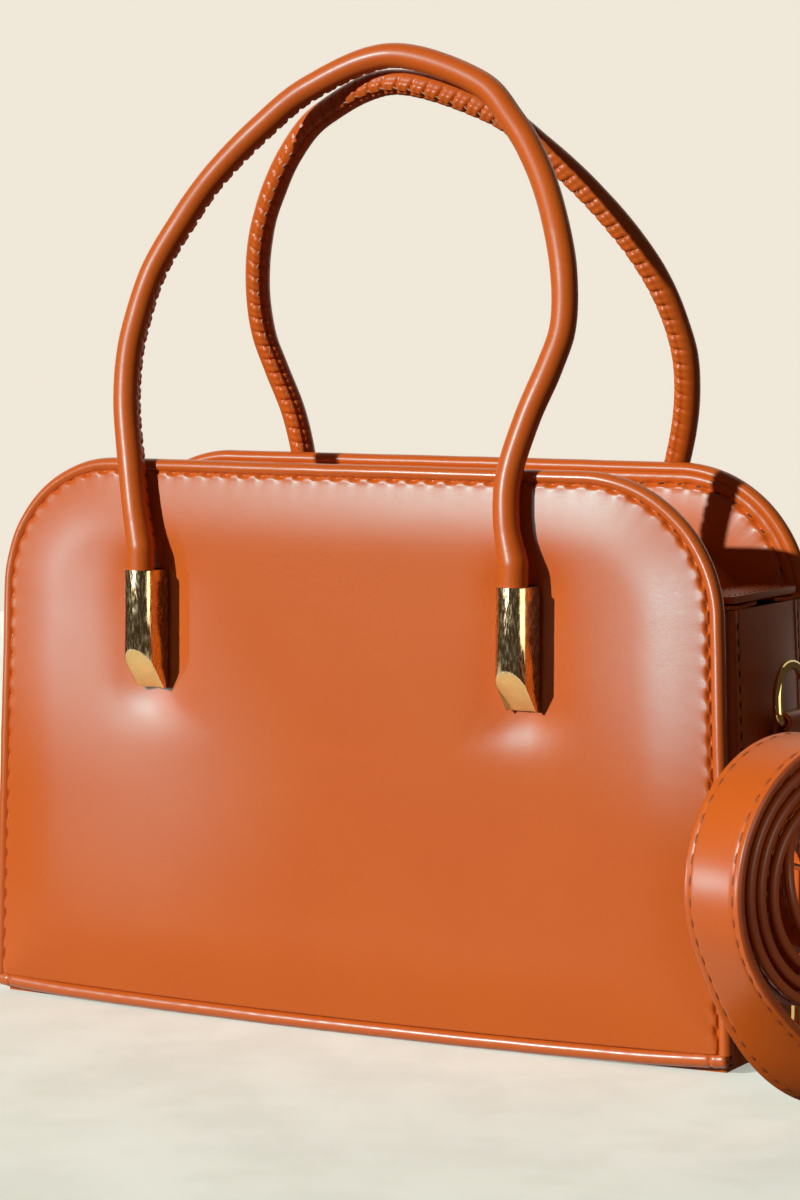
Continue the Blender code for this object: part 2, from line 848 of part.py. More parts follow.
def zip_chain():
    tape = material("zip_tape", TAPE, 0.8)
    teeth = metal("zip_metal")
    rail_end = chain_gap / 2 + rail_width
    tape_start = rail_end + clearance
    for word, side in (("front", -1), ("back", 1)):
        zip_strip(
            f"{word}_zip_tape", side, tape_start, tape_start + tape_width,
            tape_drop(), tape_thickness, tape,
        )
        zip_strip(
            f"{word}_zip_teeth", side, chain_gap / 2, rail_end, rail_drop(), rail_height, teeth
        )


def slider_seat():
    """The height of the slider plate's underside, over the chain."""
    return roof_height - rail_drop() + clearance


def zip_slider():
    """Saddle-shaped slider over the chain, with a lug that holds the pull."""
    low = roof_height - tape_drop() + clearance
    seat, top = slider_seat(), slider_seat() + slider_plate
    half, inner = slider_width / 2, slider_width / 2 - slider_flange
    section = [
        (-half, low), (-half, top), (half, top), (half, low),
        (inner, low), (inner, seat), (-inner, seat), (-inner, low),
    ]
    stand = Matrix(((0, 0, 1, 0), (1, 0, 0, 0), (0, 1, 0, 0), (0, 0, 0, 1)))
    place = Matrix.Translation((slider_rest_x, 0.0, 0.0)) @ stand
    body = as_mesh(slab("zip_slider", [section], slider_length, metal("zip_metal"), place))
    bm = bmesh.new()
    bmesh.ops.create_cube(bm, size=1.0)
    tall = lug_height + slider_plate / 2
    bmesh.ops.scale(bm, vec=(lug_length, lug_width, tall), verts=bm.verts)
    lug_place = Matrix.Translation((slider_rest_x, 0.0, top + lug_height - tall / 2))
    lug = helper("slider_lug", mesh_from(bm, "slider_lug"), lug_place)
    hole = cylinder_mesh("lug_hole", lug_hole_radius, lug_width + 2 * cut_overrun)
    middle = Vector((slider_rest_x, 0.0, pull_axis_height()))
    turned = Matrix.Translation(middle) @ Matrix.Rotation(math.pi / 2, 4, "X")
    boolean(body, lug, "UNION")
    boolean(body, helper("lug_hole", hole, turned), "DIFFERENCE")


def pull_axis_height():
    return slider_seat() + slider_plate + lug_height / 2


def pull_slope():
    """The pull lies with its tip on the chain."""
    drop = pull_axis_height() - slider_seat() + clearance - pull_thickness / 2 - clearance
    return math.asin(drop / pull_length)


def zip_pull():
    """Drop-shaped pull with an open fork whose pin sits in the slider's lug."""
    half, eye = pull_width / 2, lug_width / 2 + clearance
    fork = lug_length / 2 + pull_eye_margin
    tip = arc(pull_length - half, 0.0, half, math.pi / 2, -math.pi / 2, 8)
    outline = [(-pull_eye_margin, eye), (-pull_eye_margin, half)] + tip
    outline += [(-pull_eye_margin, -half), (-pull_eye_margin, -eye), (fork, -eye), (fork, eye)]
    middle = Vector((slider_rest_x, 0.0, pull_axis_height()))
    place = Matrix.Translation(middle) @ Matrix.Rotation(pull_slope(), 4, "Y")
    body = as_mesh(slab("zip_pull", [outline], pull_thickness, metal("zip_metal"), place))
    pin_radius = lug_hole_radius - clearance
    pin = cylinder_mesh("pull_pin", pin_radius, 2 * eye + pull_thickness, 12)
    turned = Matrix.Translation(middle) @ Matrix.Rotation(math.pi / 2, 4, "X")
    boolean(body, helper("pull_pin", pin, turned), "UNION")


def end_tab(name, side):
    """Leather tab over the zip's end, lying on the roof's level end."""
    round_radius = tab_thickness
    half_x, half_y = tab_width / 2, tab_half_length
    inner_x, inner_y = half_x - round_radius, half_y - round_radius
    outline = []
    for corner, (sx, sy) in enumerate(((1, 1), (-1, 1), (-1, -1), (1, -1))):
        start = corner * math.pi / 2
        outline += arc(sx * inner_x, sy * inner_y, round_radius, start, start + math.pi / 2, 3)
    middle_x = side_x(gusset_top) - roof_end_inset - half_x
    height = roof_foot() + clearance + tab_thickness / 2
    place = Matrix.Translation((side * middle_x, 0.0, height))
    slab(name, [outline], tab_thickness, leather("leather"), place)


# Rings and the folded loops that carry them.


def folded_loop(name, bar_radius, thickness, width, length, finish, place):
    """A strip folded round a bar: local Y is the bar, X is out from the seat, Z is up.

    The bar's axis is at the local origin, and the two layers run down from it.
    """
    ring = bar_radius + clearance + thickness / 2
    back = -ring
    front = back + thickness + clearance
    join = -2.4 * ring
    line = [(back, -length), (back, join), (back, join / 3)]
    line += arc(0.0, 0.0, ring, math.pi, -0.25 * math.pi, 10)
    line += [(front, join), (front, -length)]
    rows = [[(x, -width / 2, z), (x, width / 2, z)] for x, z in line]
    piece = grid_surface(name, rows, finish)
    piece.matrix_world = place
    return solidify(piece, thickness, 0.0)


def ring_outline():
    """The ring's middle line in its own plane: (y, z), with its bar on z = 0."""
    half = (ring_inner_width + ring_wire) / 2
    corner = ring_corner_radius
    top = ring_height - ring_wire
    left = arc(-half + corner, corner, corner, -math.pi / 2, -math.pi, 3)
    crown = arc(0.0, top - half, half, math.pi, 0.0, 10)
    right = arc(half - corner, corner, corner, 0.0, -math.pi / 2, 3)
    return left + crown + right


def ring_axis_x():
    """How far out the ring's bar is: the tab's back layer lies on the gusset."""
    share = ring_bar_height / gusset_top
    swelling = gusset_swell * (swell_low_share + (1 - swell_low_share) * math.sin(math.pi * share))
    out = side_x(ring_bar_height) - gusset_edge_inset + swelling
    return out + clearance + ring_tab_thickness + clearance + ring_wire / 2 + tab_stand()


def tab_stand():
    """The gusset's swelling grows below the ring, so the tab stands off by this much."""
    low = ring_bar_height - ring_tab_length
    share = ring_bar_height / gusset_top
    low_share = low / gusset_top
    there = gusset_swell * (1 - swell_low_share) * math.sin(math.pi * low_share)
    here = gusset_swell * (1 - swell_low_share) * math.sin(math.pi * share)
    return there - here + math.tan(side_lean) * ring_tab_length


def ring(prefix, side):
    """A ring that points up, its bar held in a folded leather tab sewn to the gusset."""
    axis = Vector((side * ring_axis_x(), 0.0, ring_bar_height))
    turned = Matrix.Rotation(0.0 if side > 0 else math.pi, 4, "Z")
    place = Matrix.Translation(axis) @ turned
    leaning = place @ Matrix.Rotation(-ring_lean, 4, "Y")
    points = [(0.0, y, z) for y, z in ring_outline()]
    wire(f"{prefix}_ring", points, ring_wire, metal("ring_metal"), 1, True, where=leaning)
    folded_loop(
        f"{prefix}_ring_tab", ring_wire / 2, ring_tab_thickness, ring_tab_width,
        ring_tab_length, leather("leather"), place,
    )


# Shoulder strap.


def strap_place():
    """The coil's own frame: X runs level along its face, Y up and Z along its axis."""
    along = Vector((-math.sin(strap_turn), math.cos(strap_turn), 0.0))
    axis = Vector((math.cos(strap_turn), math.sin(strap_turn), 0.0))
    up = Vector((0.0, 0.0, 1.0))
    columns = (along, up, axis, Vector((strap_centre_x, strap_centre_y, strap_centre_height)))
    rows = [[column[k] for column in columns] for k in range(3)]
    return Matrix(rows + [[0.0, 0.0, 0.0, 1.0]])


def coil_radius(turn):
    """The radius of the wound strap at a number of turns from its inner end."""
    radius = strap_outer_radius - sum(strap_turn_gaps)
    for gap in strap_turn_gaps:
        step = min(1.0, max(0.0, turn))
        radius += gap * step
        turn -= 1.0
    return radius


def strap_line():
    """The strap's middle line and the lean of its face, from its inner end to the tip of its tail."""
    turns = len(strap_turn_gaps)
    wound = []
    count = turns * strap_points_per_turn
    first_angle = strap_leave_angle - turns * 2 * math.pi
    for k in range(count + 1):
        angle = first_angle + 2 * math.pi * k / strap_points_per_turn
        radius = coil_radius(k / strap_points_per_turn)
        wound.append(Vector((radius * math.cos(angle), radius * math.sin(angle), 0.0)))
    first_radius = coil_radius(0.0)
    inner = []
    sweep = first_angle - (strap_end_angle - turns * 2 * math.pi)
    steps = round(sweep / (2 * math.pi) * strap_points_per_turn)
    for k in range(steps, 0, -1):
        share = k / steps
        ease = share * share * (3 - 2 * share)
        angle = first_angle - sweep * share
        radius = first_radius + (strap_end_radius - first_radius) * ease
        point = Vector((radius * math.cos(angle), radius * math.sin(angle), 0.0))
        point.z = -strap_end_shift * ease
        inner.append(point)
    leave = wound[-1]
    heading = Vector((-math.sin(strap_leave_angle), math.cos(strap_leave_angle), 0.0))
    floor = -(strap_centre_height - strap_thickness / 2 - clearance)
    landing = Vector((strap_tail_start, floor, 0.0))
    level = Vector((1.0, 0.0, 0.0))
    pulls = (leave + heading * strap_loosening, landing - level * strap_loosening)
    loose = []
    spans = 16
    for k in range(1, spans + 1):
        t = k / spans
        s = 1 - t
        loose.append(
            leave * s**3 + 3 * pulls[0] * s * s * t + 3 * pulls[1] * s * t * t + landing * t**3
        )
    tail = []
    steps = 6
    for k in range(1, steps + 1):
        share = min(1.0, k / (steps - 1))
        climb = Vector((0.0, strap_tail_rise * share * share * (3 - 2 * share), 0.0))
        tail.append(landing + level * strap_tail_length * k / steps + climb)
    points = inner + wound + loose + tail
    leans = [0.0] * (len(inner) + len(wound))
    leans += [strap_lean * math.sin(math.pi * k / spans) ** 2 for k in range(1, spans + 1)]
    leans += [0.0] * len(tail)
    return points, leans


def strap_section():
    half_w, half_t, cut = strap_width / 2, strap_thickness / 2, strap_edge_round
    corner = [(half_t, half_w - cut), (half_t - cut, half_w)]
    other = [(-x, y) for x, y in reversed(corner)]
    top = corner + other
    return top + [(-x, -y) for x, y in top]


def least_gap(points):
    """The smallest space between the strap's turns, measured on its points."""
    best = body_width
    far = strap_points_per_turn // 2
    for i, a in enumerate(points):
        for b in points[i + far:]:
            best = min(best, (a - b).length)
    return best - strap_thickness


def strap():
    section = bpy.data.curves.new("strap_section", "CURVE")
    section.dimensions = "2D"
    edge = section.splines.new("POLY")
    corners = strap_section()[::-1]
    edge.points.add(len(corners) - 1)
    for slot, (x, y) in zip(edge.points, corners):
        slot.co = (x, y, 0.0, 1.0)
    edge.use_cyclic_u = True
    points, leans = strap_line()
    curve = bpy.data.curves.new("strap", "CURVE")
    curve.dimensions = "3D"
    curve.twist_mode = "Z_UP"
    curve.bevel_mode = "OBJECT"
    curve.bevel_object = helper("strap_section", section)
    curve.use_fill_caps = True
    line = curve.splines.new("POLY")
    line.points.add(len(points) - 1)
    for slot, point, lean in zip(line.points, points, leans):
        slot.co = (*point, 1.0)
        slot.tilt = lean
    link("strap", curve, leather("leather"), strap_place())
    length = sum((b - a).length for a, b in zip(points, points[1:]))
    print(f"strap {length:.3f} m long, least gap {1000 * least_gap(points):.2f} mm")


# Swivel snap hooks. Local X runs out along the strap, Y across it and Z square to its face.


def rounded_frame(length, half, corner, start):
    """A closed round-cornered rectangle from x = start on, as (x, y)."""
    outline = []
    corners = (
        (start + length - corner, half - corner, 0.0),
        (start + corner, half - corner, math.pi / 2),
        (start + corner, -half + corner, math.pi),
        (start + length - corner, -half + corner, 1.5 * math.pi),
    )
    for x, y, turn in corners:
        outline += arc(x, y, corner, turn, turn + math.pi / 2, 3)
    return outline


def hook_base():
    """Where the hook's cross bar lies along the strap's line."""
    return eye_length + eye_wire / 2 + boss_length + clearance + hub_length


def hook_line():
    """The hook's middle line, from the gate's side of its cross bar round to its nose, as (x, y)."""
    start, half = hook_base(), hook_half_width
    nose = start + hook_length
    bend = arc(nose - half, 0.0, half, math.pi / 2, -math.pi / 2, 8)
    corner = half / 2
    shoulder = arc(start + corner, half - corner, corner, math.pi, math.pi / 2, 3)
    lip = [(nose - half - half / 3, -half)]
    return [(start, -half)] + shoulder + bend + lip


def gate_pivot():
    """Where the gate turns, on the hook's cross bar, as (x, y)."""
    return hook_base() + hook_wire / 2 + clearance + gate_wire / 2, -hook_half_width


def hook(prefix, place):
    """Eye in the strap's fold, hook that swivels in the eye's boss, and a sprung gate."""
    gold = metal("hook_metal")
    half = strap_width / 2 + eye_side_gap + eye_wire / 2
    frame = rounded_frame(eye_length, half, eye_corner_radius, 0.0)
    points = [(x, y, 0.0) for x, y in frame]
    eye = as_mesh(wire(f"{prefix}_hook_eye", points, eye_wire, gold, 1, True, where=place))
    boss = cylinder_mesh("boss", boss_radius, boss_length + eye_wire / 2)
    across = Matrix.Rotation(math.pi / 2, 4, "Y")
    boss_x = eye_length + (boss_length + eye_wire / 2) / 2
    boss_place = place @ Matrix.Translation((boss_x, 0.0, 0.0)) @ across
    boolean(eye, helper(f"{prefix}_boss", boss, boss_place), "UNION")
    bore = cylinder_mesh("bore", stem_radius + clearance, 2 * (boss_length + eye_wire))
    bore_place = place @ Matrix.Translation((eye_length, 0.0, 0.0)) @ across
    boolean(eye, helper(f"{prefix}_bore", bore, bore_place), "DIFFERENCE")
    line = [(x, y, 0.0) for x, y in hook_line()]
    body = as_mesh(wire(f"{prefix}_hook", line, hook_wire, gold, 1, where=place))
    hub_x = hook_base() - hub_length / 2
    hub = cylinder_mesh("hub", hub_radius, hub_length)
    hub_place = place @ Matrix.Translation((hub_x, 0.0, 0.0)) @ across
    boolean(body, helper(f"{prefix}_hub", hub, hub_place), "UNION")
    head_x = eye_length - eye_wire / 2 - clearance - stem_head_length / 2
    stem_length = hub_x - head_x
    stem = cylinder_mesh("stem", stem_radius, stem_length)
    stem_place = place @ Matrix.Translation((head_x + stem_length / 2, 0.0, 0.0)) @ across
    boolean(body, helper(f"{prefix}_stem", stem, stem_place), "UNION")
    head = cylinder_mesh("head", stem_head_radius, stem_head_length)
    head_place = place @ Matrix.Translation((head_x, 0.0, 0.0)) @ across
    boolean(body, helper(f"{prefix}_head", head, head_place), "UNION")
    pivot_x, gate_y = gate_pivot()
    gate_end = line[-1][0] - clearance
    turns = (0.15, 0.4, 0.7, 1.0)
    gate, radii = [], []
    for share in turns:
        turn = share * math.pi / 2
        gate.append((pivot_x - math.cos(turn) * gate_wire / 2, gate_y, 0.0))
        radii.append(math.sin(turn))
    gate.append((gate_end, gate_y, 0.0))
    radii.append(1.0)
    wire(f"{prefix}_hook_gate", gate, gate_wire, gold, 1, radii=radii, where=place)
    places[f"{prefix} swivel"] = (place.translation, place.to_3x3().col[0])
    places[f"{prefix} gate"] = (place @ Vector((pivot_x, gate_y, 0.0)), place.to_3x3().col[2])


def strap_ends():
    """The folded ends of the strap with their hooks."""
    points, _ = strap_line()
    frame = strap_place()
    reach = strap_loop_length + 2 * clearance
    for prefix, tip, before in (
        ("inner", points[0], points[1]),
        ("outer", points[-1], points[-2]),
    ):
        out = (tip - before).normalized()
        across = Vector((0.0, 0.0, 1.0))
        across = (across - across.dot(out) * out).normalized()
        face = out.cross(across)
        bar = tip + out * reach
        columns = (out, across, face, bar)
        rows = [[column[k] for column in columns] for k in range(3)]
        place = frame @ Matrix(rows + [[0.0, 0.0, 0.0, 1.0]])
        hook(prefix, place)
        turned = place @ Matrix.Rotation(math.pi / 2, 4, "Y")
        folded_loop(
            f"{prefix}_strap_loop", eye_wire / 2, strap_loop_thickness, strap_width,
            strap_loop_length, leather("leather"), turned,
        )


def report_places():
    """The axes of the joints, which the record repeats."""
    print(f"handle pivots y {handle_y():.4f} z {pivot_height():.4f}")
    print(f"ring bars x {ring_axis_x():.4f} z {ring_bar_height:.4f}")
    print(f"pull axis x {slider_rest_x:.4f} z {pull_axis_height():.4f}")
    for name, (spot, axis) in places.items():
        print(name, *(f"{v:.4f}" for v in spot), "axis", *(f"{v:.4f}" for v in axis))


clear_scene()
places = {}
bag = new_collection("handbag")
helpers = new_collection("helpers")
plate("front", -1)
plate("back", 1)
for plate_word, plate_side in (("front", -1), ("back", 1)):
    for hand_word, hand_side in (("left", -1), ("right", 1)):
        ferrule(f"{plate_word}_{hand_word}_ferrule", plate_side, hand_side * handle_spread)
        fixing_screw(f"{plate_word}_{hand_word}_screw", plate_side, hand_side * handle_spread)
handle("front", -1, front_handle_top, 0.0, front_apex_y, front_left_shares, front_right_shares)
handle("back", 1, back_handle_top, back_apex_x, back_apex_y, back_left_shares, back_right_shares)
base()
for side_word, side_sign in (("right", 1), ("left", -1)):
    gusset(f"{side_word}_gusset", side_sign)
    end_tab(f"{side_word}_zip_end_tab", side_sign)
    ring(side_word, side_sign)
zip_facing("front_zip_facing", -1)
zip_facing("back_zip_facing", 1)
lining()
zip_chain()
zip_slider()
zip_pull()
strap()
strap_ends()
report_places()
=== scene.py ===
"""The handbag's looks: glazed leather with stitched, puckered edges, polished fittings and a
coiled strap.

Lengths in this file are in millimetres until a piece is made, and the frame is the CAD's:
X across the bag, -Y its front, Z up from the floor.
"""

import json
import math

import bmesh
import bpy
import numpy as np
from mathutils import Matrix, Vector

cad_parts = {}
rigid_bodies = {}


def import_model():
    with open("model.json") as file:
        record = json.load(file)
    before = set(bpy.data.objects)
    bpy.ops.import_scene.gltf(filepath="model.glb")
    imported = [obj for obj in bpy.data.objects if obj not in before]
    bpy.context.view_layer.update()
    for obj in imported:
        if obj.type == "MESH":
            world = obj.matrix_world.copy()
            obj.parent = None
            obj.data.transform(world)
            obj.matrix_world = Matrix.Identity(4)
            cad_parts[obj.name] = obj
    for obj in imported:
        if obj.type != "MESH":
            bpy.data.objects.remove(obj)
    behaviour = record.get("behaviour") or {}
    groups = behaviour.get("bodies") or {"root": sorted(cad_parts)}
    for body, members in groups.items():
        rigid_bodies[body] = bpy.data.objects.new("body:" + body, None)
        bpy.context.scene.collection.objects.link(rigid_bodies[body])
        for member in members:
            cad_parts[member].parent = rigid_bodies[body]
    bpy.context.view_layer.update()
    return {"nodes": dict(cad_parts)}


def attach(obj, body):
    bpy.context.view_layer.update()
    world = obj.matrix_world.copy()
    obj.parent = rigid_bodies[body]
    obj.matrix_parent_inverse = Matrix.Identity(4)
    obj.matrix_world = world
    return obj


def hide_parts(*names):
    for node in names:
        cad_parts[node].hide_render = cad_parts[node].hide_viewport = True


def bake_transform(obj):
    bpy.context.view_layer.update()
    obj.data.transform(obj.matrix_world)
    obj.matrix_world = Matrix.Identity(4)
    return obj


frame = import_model()

MM = 0.001
QUARTER = math.pi / 2
EVEN = (1.0, 1.0, 1.0)
ACROSS = np.array([0.0, 1.0, 0.0])
UP = np.array([0.0, 0.0, 1.0])
PLATES = (("front", -1), ("back", 1))
SIDES = (("right", 1), ("left", -1))

# The plates, as in the CAD.
HALF_WIDTH = 125.0
PLATE_HEIGHT = 168.0
HALF_DEPTH = 34.0
TOP_RADIUS = 42.0
FOOT_RADIUS = 3.5
LEAN = math.radians(2.0)
PLATE_BOW = 4.0
PLATE_LIFT = 0.3
EDGE_RISE = 1.0
PADDING_SLOPE = 0.163
PADDING_MARGIN = 21.0
ROLL_RADIUS = 2.0
WELT_RADIUS = 2.3
FOOT_RISE = 0.9
PLATE_THICKNESS = 5.1

# Seams of the plates, as insets from their outline.
STITCH_PITCH = 6.3
SKIN_EDGE = 3.42
SKIN_STITCH = 3.9
PUCKER_LINE = 4.4
FACING_STITCH = 6.3

# Base, roof, gussets and zip.
BASE_THICKNESS = 1.4
ROOF_HEIGHT = 155.0
ROOF_FLAT_HALF = 52.0
ROOF_BEND = 60.0
ROOF_SLOPE = math.radians(42.0)
ROOF_STITCH = 8.8
GUSSET_TOP = 130.0
GUSSET_SWELL = 3.5
GUSSET_FLANGE = 28.6
GUSSET_FOLD = 26.0
GUSSET_STITCH = 22.2
TAB_LEVEL = 1.5
TOOTH_PITCH = 2.3
LINING_FLOOR = 6.0
LINING_FLARE = 0.035

# Handles and ferrules.
SPREAD = 62.2
PIVOT_Z = 140.0
HANDLE_Y = 45.7
HANDLE_RADIUS = 3.9
HANDLE_PITCH = 4.7
FERRULE_TOP = 135.8
FERRULE_LENGTH = 36.0
FERRULE_SEAT = 40.9
FERRULE_HALF = 4.8
FERRULE_DEPTH = 9.6
FERRULE_CROWN = 3.4
FERRULE_BACK = -2.6
FERRULE_CUT = 12.2

# Rings and their tabs.
RING_X = 129.0
RING_Z = 97.5
RING_INSIDE = 20.5
RING_WIRE = 1.35
RING_TAB_LEATHER = 1.3


# Materials.


def join(tree, node, inputs):
    """Fill a node's inputs, each with a value or with another node's output."""
    for key, value in inputs.items():
        if isinstance(value, bpy.types.NodeSocket):
            tree.links.new(value, node.inputs[key])
        else:
            node.inputs[key].default_value = value


def add(tree, kind, inputs, **settings):
    node = tree.nodes.new("ShaderNode" + kind)
    for key, value in settings.items():
        setattr(node, key, value)
    join(tree, node, inputs)
    return node


def material(inputs_of):
    """From a function that gives a shader's inputs, one that makes the material."""

    def made_of(name, *values, **more):
        made = bpy.data.materials.new(name)
        made.use_nodes = True
        tree = made.node_tree
        join(tree, tree.nodes["Principled BSDF"], inputs_of(tree, *values, **more))
        return made

    return made_of


def stretched(tree, scale=EVEN):
    """Object coordinates, scaled along each axis."""
    where = add(tree, "TexCoord", {}).outputs["Object"]
    return add(tree, "Mapping", {"Vector": where, "Scale": scale}).outputs["Vector"]


def noise(tree, vector, scale, detail, roughness=0.55):
    inputs = {"Vector": vector, "Scale": scale, "Detail": detail, "Roughness": roughness}
    return add(tree, "TexNoise", inputs).outputs["Fac"]


def ramp(tree, value, *stops):
    node = add(tree, "ValToRGB", {"Fac": value})
    band = node.color_ramp
    while len(band.elements) < len(stops):
        band.elements.new(0.5)
    for element, (place, colour) in zip(band.elements, stops):
        element.position = place
        element.color = (*colour, 1.0)
    return node.outputs["Color"]


def to_range(tree, value, low, high, from_low=0.3, from_high=0.7):
    ends = {"From Min": from_low, "From Max": from_high, "To Min": low, "To Max": high}
    return add(tree, "MapRange", {"Value": value, **ends}).outputs["Result"]


def bump(tree, height, strength, distance, before=None):
    inputs = {"Height": height, "Strength": strength, "Distance": distance}
    if before is not None:
        inputs["Normal"] = before
    return add(tree, "Bump", inputs).outputs["Normal"]


def multiplied(tree, below, above, share):
    inputs = {0: share, 6: below, 7: above}
    return add(tree, "Mix", inputs, data_type="RGBA", blend_type="MULTIPLY").outputs[2]


@material
def leather(
    tree, colour, dark, grain=EVEN, roughness=(0.33, 0.385), coat=0.0, tint=(0.34, 0.93, 1.0),
    level=0.46,
):
    """Glazed leather: fine streaky grain, soft mottling and a thin gloss."""
    plain = stretched(tree)
    fine = noise(tree, stretched(tree, grain), 900.0, 5.0, 0.6)
    tone = ramp(tree, noise(tree, plain, 26.0, 3.0), (0.32, dark), (0.68, colour))
    streak = ramp(tree, fine, (0.35, (0.90, 0.88, 0.86)), (0.65, EVEN))
    rough = bump(tree, fine, 0.22, 0.00006)
    rough = bump(tree, noise(tree, plain, 2600.0, 3.0, 0.6), 0.16, 0.00004, rough)
    rough = bump(tree, noise(tree, plain, 60.0, 2.0), 0.10, 0.0006, rough)
    return {
        "Base Color": multiplied(tree, tone, streak, 0.55),
        "Roughness": to_range(tree, fine, *roughness),
        "Normal": rough,
        "Specular IOR Level": level,
        "Specular Tint": (*tint, 1.0),
        "Coat Weight": coat,
        "Coat Roughness": 0.24,
    }


@material
def thread(tree, colour):
    """Twisted sewing thread."""
    twist = noise(tree, stretched(tree), 3000.0, 2.0)
    return {
        "Base Color": ramp(tree, twist, (0.3, tuple(0.6 * c for c in colour)), (0.7, colour)),
        "Normal": bump(tree, twist, 0.5, 0.0001),
        "Roughness": 0.6,
    }


@material
def woven(tree, colour, dark, pitch):
    """Plain weave, from two crossing waves."""
    inputs = {"Vector": stretched(tree), "Scale": 1.0 / (pitch * 20.0 * MM)}
    inputs.update({"Distortion": 0.6, "Detail": 1.0})
    waves = [
        add(tree, "TexWave", inputs, wave_type="BANDS", bands_direction=way).outputs["Fac"]
        for way in ("X", "Z")
    ]
    weave = add(tree, "Math", {0: waves[0], 1: waves[1]}, operation="MULTIPLY").outputs[0]
    return {
        "Base Color": ramp(tree, weave, (0.1, dark), (0.7, colour)),
        "Normal": bump(tree, weave, 0.6, 0.0002),
        "Roughness": 0.85,
        "Sheen Weight": 0.3,
    }


@material
def gold(
    tree, colour, roughness, streaks=EVEN, strength=0.15, distance=0.00004, metallic=1.0,
    painted_glint_specks=False,
):
    """Gold plating with fine polishing marks. With painted glint specks, its colour is streaked
    darker and paler along them: painted speckled reflections.
    """
    marks = noise(tree, stretched(tree, streaks), 1400.0, 4.0, 0.6)
    dull = tuple(0.86 * c for c in colour)
    if painted_glint_specks:
        # Painted reflections: dark and pale specks in the colour stand in for the speckled glints
        # of the polishing marks; the roughness follows the same specks.
        glint_speck_noise = noise(tree, stretched(tree, (1.0, 1.0, 0.16)), 2300.0, 3.0, 0.6)
        stops = (0.38, (0.50, 0.38, 0.20)), (0.50, dull), (0.64, (0.96, 0.84, 0.60))
        tone = ramp(tree, glint_speck_noise, *stops)
        rough = to_range(tree, glint_speck_noise, 0.09, 0.30, 0.40, 0.62)
    else:
        cloud = noise(tree, stretched(tree), 120.0, 3.0)
        tone = ramp(tree, cloud, (0.35, dull), (0.65, colour))
        rough = to_range(tree, marks, 0.75 * roughness, 1.35 * roughness)
    return {
        "Base Color": tone,
        "Roughness": rough,
        "Normal": bump(tree, marks, strength, distance),
        "Metallic": metallic,
    }


@material
def pale_floor(tree):
    """Whitish stone, lit a little by itself."""
    plain = stretched(tree)
    cloud = noise(tree, plain, 5.0, 6.0, 0.6)
    veins = noise(tree, plain, 22.0, 8.0, 0.7)
    tone = ramp(tree, cloud, (0.35, (0.700, 0.730, 0.645)), (0.65, (0.742, 0.785, 0.710)))
    fine = ramp(tree, veins, (0.42, (0.92, 0.915, 0.91)), (0.55, EVEN))
    both = multiplied(tree, tone, fine, 0.8)
    return {
        "Base Color": both,
        "Roughness": 0.8,
        "Specular IOR Level": 0.1,
        "Emission Color": both,
        "Emission Strength": 0.50,
    }


@material
def unpatterned(_, inputs):
    return inputs


TAN = (0.615, 0.119, 0.010), (0.600, 0.111, 0.009)
PAINT = (0.40, 0.078, 0.015), (0.28, 0.050, 0.010)
LEATHER = leather("leather_glazed", *TAN, (1.0, 1.0, 3.2))
LEATHER_ROUND = leather("leather_rolled", *TAN, EVEN, (0.35, 0.43), 0.40)
LEATHER_SOFT = leather("leather_handles", *TAN, EVEN, (0.36, 0.44), 0.12)
LEATHER_DULL = leather(
    "leather_unglazed", *TAN, EVEN, (0.58, 0.68), tint=(0.8, 0.95, 1.0), level=0.12
)
LEATHER_EDGE = leather("leather_painted_edge", *PAINT, EVEN, (0.42, 0.5), 0.1)
THREAD = thread("thread_tan", (0.26, 0.052, 0.010))
THREAD_STRAP = thread("thread_strap", (0.36, 0.082, 0.019))
# Thread darkened well below its own colour: painted shade for stitches that lie deep in slits and
# on the shaded gussets.
THREAD_IN_PAINTED_SHADE = thread("thread_sunk", (0.10, 0.020, 0.005))
THREAD_PALE = thread("thread_pale", (0.50, 0.27, 0.15))
TAPE = woven("zip_tape_weave", (0.40, 0.11, 0.03), (0.20, 0.05, 0.015), 0.6)
LINING = woven("lining_weave", (0.36, 0.22, 0.13), (0.22, 0.12, 0.07), 0.8)
GOLD = gold("gold_polished", (0.86, 0.61, 0.24), 0.10)
# The ferrules' colour carries painted speckled reflections.
GOLD_BRUSHED = gold(
    "gold_ferrule", (0.80, 0.60, 0.30), None, (2.0, 2.0, 0.35), 0.35, 0.00003, painted_glint_specks=True
)
GOLD_SATIN = gold("gold_cut_face", (0.96, 0.68, 0.27), 0.34, strength=0.02, metallic=0.75)
FLOOR = pale_floor("pale_floor")
# A patch that glows by itself and shows only in reflections: painted reflection of the sunlit
# floor in the fittings.
GLOWING_FLOOR_PATCH = unpatterned("lit_floor", {
    "Base Color": (0.74, 0.76, 0.68, 1.0),
    "Emission Color": (0.74, 0.72, 0.64, 1.0),
    "Emission Strength": 1.0,
})
WALL = unpatterned("cream_wall", {"Base Color": (0.82, 0.79, 0.71, 1.0), "Roughness": 0.9})


# Mesh helpers.


def linked(name, data):
    made = bpy.data.objects.new(name, data)
    bpy.context.scene.collection.objects.link(made)
    return made


def mesh_of(name, vertices, faces, materials):
    mesh = bpy.data.meshes.new(name)
    mesh.from_pydata((vertices * MM).tolist(), [], faces)
    for finish in materials:
        mesh.materials.append(finish)
    return mesh


